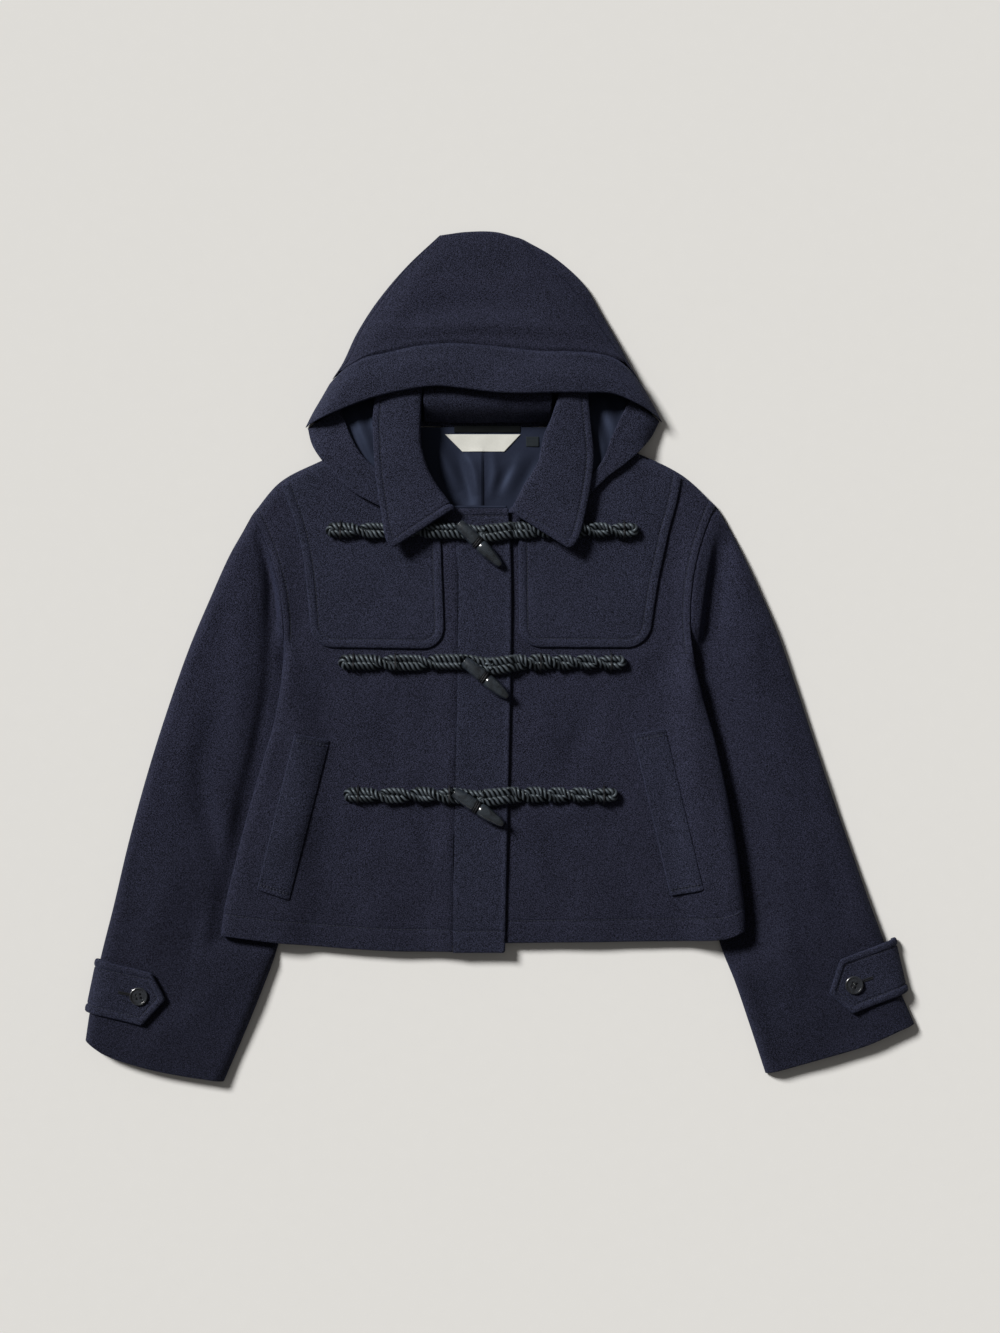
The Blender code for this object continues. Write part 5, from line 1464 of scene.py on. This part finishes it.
def strands(path, radius, lay, pitch, flat=1.0, sides=STRAND_SIDES, squeeze=1.0, count=3):
    """Twisted strands round a path. A strand has a radius and lies at a distance from the middle.

    The first strand place runs from 0 in the cord's heart to 1 on its outside."""
    _, side, up = frames_of(path)
    place = run_of(path)
    squeeze = np.broadcast_to(squeeze, place.shape)
    found = []
    for k in range(count):
        turn = 2 * np.pi * (place / pitch + k / count)
        out = side * np.cos(turn)[:, None] + up * (flat * np.sin(turn))[:, None]
        middle = path + out * (lay * squeeze)[:, None]
        points, quads, uvs = swept(middle, radius * squeeze, sides)
        away = points[:-2].reshape(len(path), sides, 3) - middle[:, None]
        away = np.sum(away * out[:, None], axis=2) / np.linalg.norm(out, axis=1)[:, None]
        # crest: 0 where a strand faces the cord's heart, 1 where it faces out; the rope's finish paints
        # groove shade and crest highlight from it
        crest = 0.5 + 0.5 * (away / (radius * squeeze)[:, None]).ravel()
        uvs[..., 0] = np.concatenate((crest, (0.5, 0.5)))[quads]
        found.append((points, quads, uvs))
    return found


class Ground:
    """Finds the uppermost cloth under a place."""

    def __init__(self, names):
        self.trees = []
        for name in names:
            mesh = PIECES[name].data
            points = [v.co.copy() for v in mesh.vertices]
            self.trees.append(BVHTree.FromPolygons(points, [tuple(p.vertices) for p in mesh.polygons]))

    def at(self, x, y):
        top = 0.0
        for tree in self.trees:
            hit = tree.ray_cast(Vector((x * MM, y * MM, 0.2)), Vector((0, 0, -1)))[0]
            if hit:
                top = max(top, hit.z / MM)
        return top


def lanes(side, number, length):
    """Shares of the full distance between the two cords at places from a rope's outer end."""
    s = np.linspace(0.0, length, max(8, round(length)))
    lane = np.ones_like(s)
    climb = np.zeros_like(s)
    for k, crossing in enumerate(CROSSINGS[side][number]):
        lane *= 1.0 - 2.0 * smooth((s - crossing) / CROSSING_RUN[side] + 0.5)
        climb += side * (1 if k % 2 else -1) * np.exp(-((s - crossing) / (0.45 * CROSSING_RUN[side])) ** 2)
    return s, lane, climb


def rope(side, suffix, number, ground):
    """A doubled cord that is sewn down from its outer end to the toggle's waist."""
    y, outer_r, outer_l, head_x, head_y, tip_x, tip_y = CLOSURES[number]
    head, tip = Vector((head_x, head_y)), Vector((tip_x, tip_y))
    waist = head.lerp(tip, TOGGLE_WAIST_SHARE)
    outer = outer_r if side < 0 else outer_l
    length = abs(waist.x + side * ROPE_END[side] - outer)
    s, lane, climb = lanes(side, number, length)
    inward = -side
    drift = smooth((s - length + 34.0) / 34.0) * (waist.y - y) * ROPE_DRIFT
    spread_out = EYE_OPEN[side] * smooth((s - length + 30.0) / 26.0)
    apart = (CORD_APART + spread_out) * lane
    paths, squeezes = [], []
    for sign in (1, -1):
        x = outer + inward * s
        across = y + drift + sign * apart
        turn = s < CORD_APART
        half = np.sqrt(np.maximum(CORD_APART ** 2 - (CORD_APART - s) ** 2, 0.0))
        across = np.where(turn, y + sign * half, across)
        rise = np.maximum(sign * climb, 0.0) * CORD_CLIMB
        squeeze = 1.0 - 0.16 * np.abs(climb)
        path = np.stack((x, across, rise), -1)
        paths.append(path)
        squeezes.append(squeeze)
    whole = np.concatenate((paths[0][::-1], paths[1][1:]))
    pressed = np.concatenate((squeezes[0][::-1], squeezes[1][1:]))
    if side > 0:
        end_a, end_b = whole[0], whole[-1]
        middle = 0.5 * (end_a + end_b)
        radius = 0.5 * np.linalg.norm(end_a - end_b)
        onward = np.array((inward, 0, 0)) * radius
        bend = []
        for degrees in range(15, 180, 15):
            a = math.radians(degrees)
            bend.append(middle + (end_b - middle) * math.cos(a) + onward * math.sin(a))
        whole = np.concatenate((whole, bend))
        pressed = np.concatenate((pressed, np.ones(len(bend))))
    floor = np.array([max(ground.at(px + dx, py) for dx in (-3, 0, 3)) for px, py, _ in whole])
    kernel = np.ones(7) / 7
    floor = np.convolve(np.pad(floor, 3, "edge"), kernel, "valid")
    half_height = STRAND_RADIUS + (CORD_RADIUS - STRAND_RADIUS) * STRAND_FLAT
    whole[:, 2] += floor + half_height * pressed + 0.1
    fine = Line(whole, sharp=True)
    shares = np.linspace(0.0, 1.0, round(fine.length / STRAND_STEP))
    squeeze = np.interp(shares, fine.along / fine.length, pressed)
    path = fine.at(shares)
    parts = strands(path, STRAND_RADIUS, CORD_RADIUS - STRAND_RADIUS, STRAND_PITCH, STRAND_FLAT,
                    squeeze=squeeze)
    axis = Line(((head_x, head_y), (tip_x, tip_y)), sharp=True)
    pressed_parts = [(under_toggle(points, axis), quads, uvs) for points, quads, uvs in parts]
    node = f"rope_{suffix}_{number + 1}"
    gathered(node, pressed_parts, ROPE_FINISH, "rope", (node,))
    tacks(side, suffix, number, path, ground)


def toggle_radius(share):
    """Radius of a toggle at a share of its length, from its head."""
    shares, radii = zip(*TOGGLE_PROFILE)
    return np.interp(share, shares, radii)


def under_toggle(points, axis):
    """Presses points down to clear a toggle that lies over them."""
    x, y, z = points[:, 0], points[:, 1], points[:, 2]
    distance, share = axis.near(x, y)
    radius = toggle_radius(share)
    base = TOGGLE_LEVEL - TOGGLE_RISE
    level = TOGGLE_LEVEL - TIP_DROP * share
    free = np.where(distance < radius, level - np.sqrt(np.maximum(radius ** 2 - distance ** 2, 0)), 99.0)
    room = np.clip((free - 0.4 - base) / (2.4 * CORD_RADIUS), 0.12, 1.0)
    pressed = np.where(z > base, base + (z - base) * room, z)
    return np.stack((x, y, pressed), -1)


def tacks(side, suffix, number, path, ground):
    """Bars of thread that sew a doubled rope down."""
    row = CLOSURES[number]
    y, outer = row[0], row[1] if side < 0 else row[2]
    parts = []
    for distance in TACKS[side][number]:
        x = outer - side * distance
        near = path[np.abs(path[:, 0] - x) < 5.0]
        low, high = near[:, 1].min() - CORD_RADIUS, near[:, 1].max() + CORD_RADIUS
        for k in range(TACK_THREADS):
            at_x = x + (k - 0.5 * (TACK_THREADS - 1)) * 2.1 * TACK_RADIUS
            line = []
            for across in np.linspace(low - 0.8, high + 0.8, 25):
                gap = np.abs(near[:, 1] - across)
                over = near[gap < CORD_RADIUS]
                top = ground.at(at_x, across)
                if len(over):
                    rise = np.sqrt(CORD_RADIUS ** 2 - (over[:, 1] - across) ** 2)
                    top = max(top, float(np.max(over[:, 2] + rise)) - 0.25)
                line.append((at_x, across, top + 0.2))
            z = np.array([p[2] for p in line])
            z = np.convolve(np.pad(z, 1, "edge"), (0.25, 0.5, 0.25), "valid")
            line = [(p[0], p[1], level) for p, level in zip(line, z)]
            parts.append(swept(np.array(line), TACK_RADIUS, 6))
    gathered(f"rope_tacks_{suffix}_{number + 1}", parts, TACK_FINISH, "rope")


def waist_coils(number):
    """The thin cord wound round a toggle's waist."""
    _, _, _, head_x, head_y, tip_x, tip_y = CLOSURES[number]
    head, tip = np.array((head_x, head_y, 0.0)), np.array((tip_x, tip_y, 0.0))
    along = (tip - head) / np.linalg.norm(tip - head)
    side = np.array((-along[1], along[0], 0.0))
    up = np.array((0.0, 0.0, 1.0))
    centre = head + (tip - head) * TOGGLE_WAIST_SHARE
    centre = centre + up * (TOGGLE_LEVEL - TIP_DROP * TOGGLE_WAIST_SHARE)
    reach = TOGGLE_WAIST + COIL_RADIUS
    turns = np.linspace(0.0, COIL_TURNS, round(COIL_TURNS * 40))
    angle = 2 * np.pi * turns - 0.5 * np.pi
    shift = (turns - 0.5 * COIL_TURNS) * 2.05 * COIL_RADIUS
    path = (centre + side * (reach * np.cos(angle))[:, None] + up * (reach * np.sin(angle))[:, None]
            + along * shift[:, None])
    parts = strands(path, 0.52 * COIL_RADIUS, 0.5 * COIL_RADIUS, 7.0, sides=6)
    name = f"rope_loop_{number + 1}"
    gathered(name, parts, TACK_FINISH, "rope", (name,))


# ---- toggles and buttons ----------------------------------------------------------------
def only(made):
    bpy.ops.object.select_all(action="DESELECT")
    made.select_set(True)
    bpy.context.view_layer.objects.active = made


def edit_faces(made, test):
    """Opens a piece for editing with the faces selected that pass a test."""
    only(made)
    for part in (made.data.vertices, made.data.edges, made.data.polygons):
        part.foreach_set("select", [False] * len(part))
    for face in made.data.polygons:
        face.select = test(face)
    bpy.ops.object.mode_set(mode="EDIT")
    bpy.ops.mesh.select_mode(type="FACE")


def apply_all(made):
    only(made)
    for modifier in list(made.modifiers):
        bpy.ops.object.modifier_apply(modifier=modifier.name)


def blank(name, sides, radius, height):
    """A cylinder that stands on its end, opened for editing with its upper face selected."""
    bpy.ops.object.select_all(action="DESELECT")
    bpy.ops.mesh.primitive_cylinder_add(vertices=sides, radius=radius * MM, depth=height * MM,
                                        location=(0, 0, 0.5 * height * MM))
    made = bpy.context.object
    made.name = name
    bpy.ops.object.transform_apply(location=True)
    edit_faces(made, lambda face: face.normal.z > 0.9)
    return made


def soften(made, width, degrees):
    """Rounds the edges that are sharper than an angle."""
    bevel = made.modifiers.new("soften", "BEVEL")
    bevel.width = width * MM
    bevel.segments = 3
    bevel.limit_method = "ANGLE"
    bevel.angle_limit = math.radians(degrees)
    apply_all(made)


def lengthen(length, widen):
    """Extrudes the selected end and gives it another width."""
    bpy.ops.mesh.extrude_region_move(TRANSFORM_OT_translate={"value": (0.0, 0.0, length)})
    bpy.ops.transform.resize(value=(widen, widen, 1.0))


def toggle(number):
    """A turned horn: a barrel with a flat end, a waist for the rope, and a tapering tip."""
    _, _, _, head_x, head_y, tip_x, tip_y = CLOSURES[number]
    head, tip = Vector((head_x, head_y, 0.0)), Vector((tip_x, tip_y, -TIP_DROP))
    length = (tip - head).length
    shares, radii = zip(*TOGGLE_PROFILE)
    made = blank(f"toggle_{number + 1}", 28, radii[1], (shares[1] - shares[0]) * length)
    for k in range(2, len(shares)):
        lengthen((shares[k] - shares[k - 1]) * length * MM, radii[k] / radii[k - 1])
    bpy.ops.object.mode_set(mode="OBJECT")
    edit_faces(made, lambda face: face.normal.z < -0.9)
    bpy.ops.mesh.inset(thickness=0.6 * MM)
    bpy.ops.transform.translate(value=(0.0, 0.0, 0.25 * MM))
    bpy.ops.mesh.inset(thickness=1.2 * MM)
    bpy.ops.transform.translate(value=(0.0, 0.0, 0.2 * MM))
    bpy.ops.object.mode_set(mode="OBJECT")
    soften(made, 0.5, 35)
    only(made)
    made.rotation_mode = "QUATERNION"
    made.rotation_quaternion = Vector((0, 0, 1)).rotation_difference((tip - head).normalized())
    made.location = Vector((head_x, head_y, TOGGLE_LEVEL)) * MM
    bpy.ops.object.transform_apply(location=True, rotation=True, scale=True)
    settle(made, TOGGLE_FINISH, "horn", (f"toggle_{number + 1}",))


def cuff_button(side, suffix):
    """A dished button with a rolled rim and four holes, and the thread through them."""
    x, y = TAB[side]["button"]
    made = blank("cuff_button_" + suffix, 48, BUTTON_RADIUS, BUTTON_HEIGHT)
    for inset, drop in ((0.7, -0.35), (0.9, 0.1), (0.4, 1.0), (3.4, -0.25)):
        bpy.ops.mesh.inset(thickness=inset * MM)
        bpy.ops.transform.translate(value=(0.0, 0.0, -drop * MM))
    bpy.ops.object.mode_set(mode="OBJECT")
    holes = [math.radians(45 + 90 * k + BUTTON_TURN[side]) for k in range(4)]
    ring = HOLE_RING * MM
    for a in holes:
        bpy.ops.object.select_all(action="DESELECT")
        bpy.ops.mesh.primitive_cylinder_add(vertices=14, radius=HOLE_RADIUS * MM,
                                            depth=4 * BUTTON_HEIGHT * MM,
                                            location=(ring * math.cos(a), ring * math.sin(a), 0))
        drill = bpy.context.object
        cut = made.modifiers.new("hole", "BOOLEAN")
        cut.object = drill
        cut.operation = "DIFFERENCE"
        only(made)
        bpy.ops.object.modifier_apply(modifier=cut.name)
        bpy.data.objects.remove(drill)
    soften(made, 0.35, 30)
    made.location = Vector((x, y, BUTTON_LEVEL)) * MM
    only(made)
    bpy.ops.object.transform_apply(location=True)
    settle(made, BUTTON_FINISH, "horn", ("cuff_button_" + suffix,))
    made.data.set_sharp_from_angle(angle=math.radians(40))
    down, up = np.array((0, 0, -1.6)), np.array((0, 0, 0.5))
    parts = []
    for pair in ((0, 1), (3, 2)):
        start, end = (np.array((x + HOLE_RING * math.cos(holes[k]), y + HOLE_RING * math.sin(holes[k]),
                                BUTTON_LEVEL + 1.9)) for k in pair)
        run = (end - start) / np.linalg.norm(end - start)
        for k in (-1, 0, 1):
            across = np.array((-run[1], run[0], 0.0)) * k * BUTTON_THREADS_APART
            line = (start + across + down, start + across, 0.5 * (start + end) + across + up,
                    end + across, end + across + down)
            parts.append(swept(Line(line).points, BUTTON_THREAD, 6))
    gathered("button_thread_" + suffix, parts, TACK_FINISH, "horn")


# ---- sewing -----------------------------------------------------------------------------
def capsule_row(path, rise, length=STITCH_LENGTH, step=STITCH_STEP, radius=THREAD):
    """Small rounded stitches, one after the other along a path."""
    line = Line(path, sharp=True)
    count = int((line.length - length) / step)
    starts = np.arange(count) * step + 0.5 * (line.length - count * step)
    shares = (starts[:, None] + length * np.array((0.0, 0.14, 0.5, 0.86, 1.0))) / line.length
    middle = line.at(shares)
    middle[..., 2] += rise + np.array((-0.35, 0.05, 0.12, 0.05, -0.35))
    run = line.at(shares[:, -1]) - line.at(shares[:, 0])
    run /= np.maximum(np.linalg.norm(run, axis=1, keepdims=True), 1e-9)
    side = np.stack((-run[:, 1], run[:, 0], 0 * run[:, 0]), -1)
    up = np.cross(run, side)
    angle = 2 * np.pi * np.arange(6) / 6
    width = radius * np.array((0.35, 0.9, 1.0, 0.9, 0.35))
    ring = side[:, None, None] * np.cos(angle)[:, None] + up[:, None, None] * np.sin(angle)[:, None]
    points = middle[:, :, None] + ring * width[None, :, None, None]
    i = np.arange(30).reshape(5, 6)
    j = np.roll(i, -1, axis=1)
    faces = np.concatenate((np.stack((i[:-1], j[:-1], j[1:], i[1:]), -1).reshape(-1, 4),
                            [(3, 2, 1, 0), (5, 4, 3, 0), (24, 25, 26, 27), (24, 27, 28, 29)]))
    faces = (faces[None] + 30 * np.arange(count)[:, None, None]).reshape(-1, 4)
    return points.reshape(-1, 3), faces


def sew(name, paths, rise=0.32, slot="wool", **sizes):
    points, faces, count = [], [], 0
    for path in paths:
        some, quads = capsule_row(path, rise, **sizes)
        points.append(some)
        faces.append(quads + count)
        count += len(some)
    return add_mesh(name, np.concatenate(points), np.concatenate(faces), THREAD_FINISH, slot)


def topstitching():
    k = STITCHED.index(STITCH_INSET)
    for side, suffix in SIDES:
        face = FACES["yoke_" + suffix]
        around = np.concatenate((face[:k:-1, k], face[k, k:-k - 1], face[k:, -k - 1]))
        sew("stitches_yoke_" + suffix, [around])
        face = FACES["front_" + suffix]
        hem = face[HEMMED.index(HEM_INSET), 3:-3]
        armhole = face[:, k if side < 0 else -k - 1]
        armhole = armhole[armhole[:, 1] > SIDE[side][-1][0] + 12.0][:-4]
        sew("stitches_front_" + suffix, [hem, armhole])
        face = FACES["collar_" + suffix]
        c = stitch_rows(COLLAR_INSET).index(COLLAR_INSET)
        edge = face[c:, -c - 1]
        end = face[c, 12:-c]
        sew("stitches_collar_" + suffix, [edge, end])
        face = FACES["cuff_tab_" + suffix]
        c = stitch_rows(TAB_INSET).index(TAB_INSET)
        around = np.concatenate((face[c, 6:-c - 1], face[c:-c - 1, -c - 1], face[-c - 1, -c - 1:6:-1]))
        sew("stitches_tab_" + suffix, [around])
        face = FACES["welt_" + suffix]
        c = stitch_rows(WELT_STITCH).index(WELT_STITCH)
        sew("stitches_welt_" + suffix, [face[row, 2:-2] for row in (c, -c - 1, c + 3, -c - 4)])
    face = FACES["placket"]
    c = stitch_rows(NECK_INSET).index(NECK_INSET)
    sew("stitches_placket", [face[HEMMED.index(HEM_INSET), 3:-3], face[-c - 1, 3:-3]])


def buttonholes():
    for side, suffix in SIDES:
        ground = Ground(["cuff_tab_" + suffix])
        start, end = (np.array(p) for p in TAB[side]["hole"])
        run = (end - start) / np.linalg.norm(end - start)
        across = np.array((-run[1], run[0]))
        length = np.linalg.norm(end - start)
        parts = []
        for sign in (-1, 1):
            for k in range(round(length / BUTTONHOLE_STEP)):
                middle = start + run * (0.4 + k * BUTTONHOLE_STEP) + across * sign * 0.9
                a, b = middle - across * 0.75, middle + across * 0.75
                line = [(*p, ground.at(*p) + 0.15) for p in (a, middle, b)]
                line[1] = (line[1][0], line[1][1], line[1][2] + 0.25)
                parts.append(swept(np.array(line), 0.3, 6))
        gathered("buttonhole_" + suffix, parts, TACK_FINISH, "wool")


# ---- studio -----------------------------------------------------------------------------
def studio():
    bpy.ops.object.select_all(action="DESELECT")
    bpy.ops.mesh.primitive_plane_add(size=FLOOR_SIZE, location=(0, 0, 0))
    floor = bpy.context.object
    floor.name = "floor"
    floor.data.materials.append(floor_finish())

    camera = bpy.data.objects.new("camera", bpy.data.cameras.new("camera"))
    camera.data.sensor_width = 36.0
    camera.data.lens = 36.0 * CAMERA_HEIGHT / FRAME_HEIGHT
    camera.data.clip_end = 50.0
    camera.location = Vector((*FRAME_CENTRE, CAMERA_HEIGHT)) * MM
    bpy.context.scene.collection.objects.link(camera)
    bpy.context.scene.camera = camera

    sun = bpy.data.objects.new("key_light", bpy.data.lights.new("key_light", "SUN"))
    sun.data.energy = KEY_POWER
    sun.data.angle = math.radians(KEY_SOFTNESS)
    sun.data.color = (1.0, 0.99, 0.975)
    turn, height = math.radians(KEY_AZIMUTH), math.radians(KEY_ELEVATION)
    toward = Vector((math.cos(turn) * math.cos(height), math.sin(turn) * math.cos(height), math.sin(height)))
    sun.rotation_mode = "QUATERNION"
    sun.rotation_quaternion = Vector((0, 0, 1)).rotation_difference(toward)
    bpy.context.scene.collection.objects.link(sun)

    world = bpy.data.worlds.new("studio")
    world.use_nodes = True
    world.node_tree.nodes["Background"].inputs["Color"].default_value = (1.0, 0.965, 0.93, 1.0)
    world.node_tree.nodes["Background"].inputs["Strength"].default_value = FILL_POWER
    bpy.context.scene.world = world
    bpy.context.scene.view_settings.view_transform = "Standard"


def main():
    studio()
    fronts()
    back()
    placket()
    yokes()
    welts()
    for side, suffix in SIDES:
        sleeve(side, suffix)
        cuff_tab(side, suffix)
        cuff_button(side, suffix)
    hood()
    hood_flanks()
    collar()
    neck_inside()
    ground = Ground(["front_r", "front_l", "placket", "yoke_r", "yoke_l"])
    for number in range(len(CLOSURES)):
        toggle(number)
        waist_coils(number)
        for side, suffix in SIDES:
            rope(side, suffix, number, ground)
    topstitching()
    buttonholes()


main()
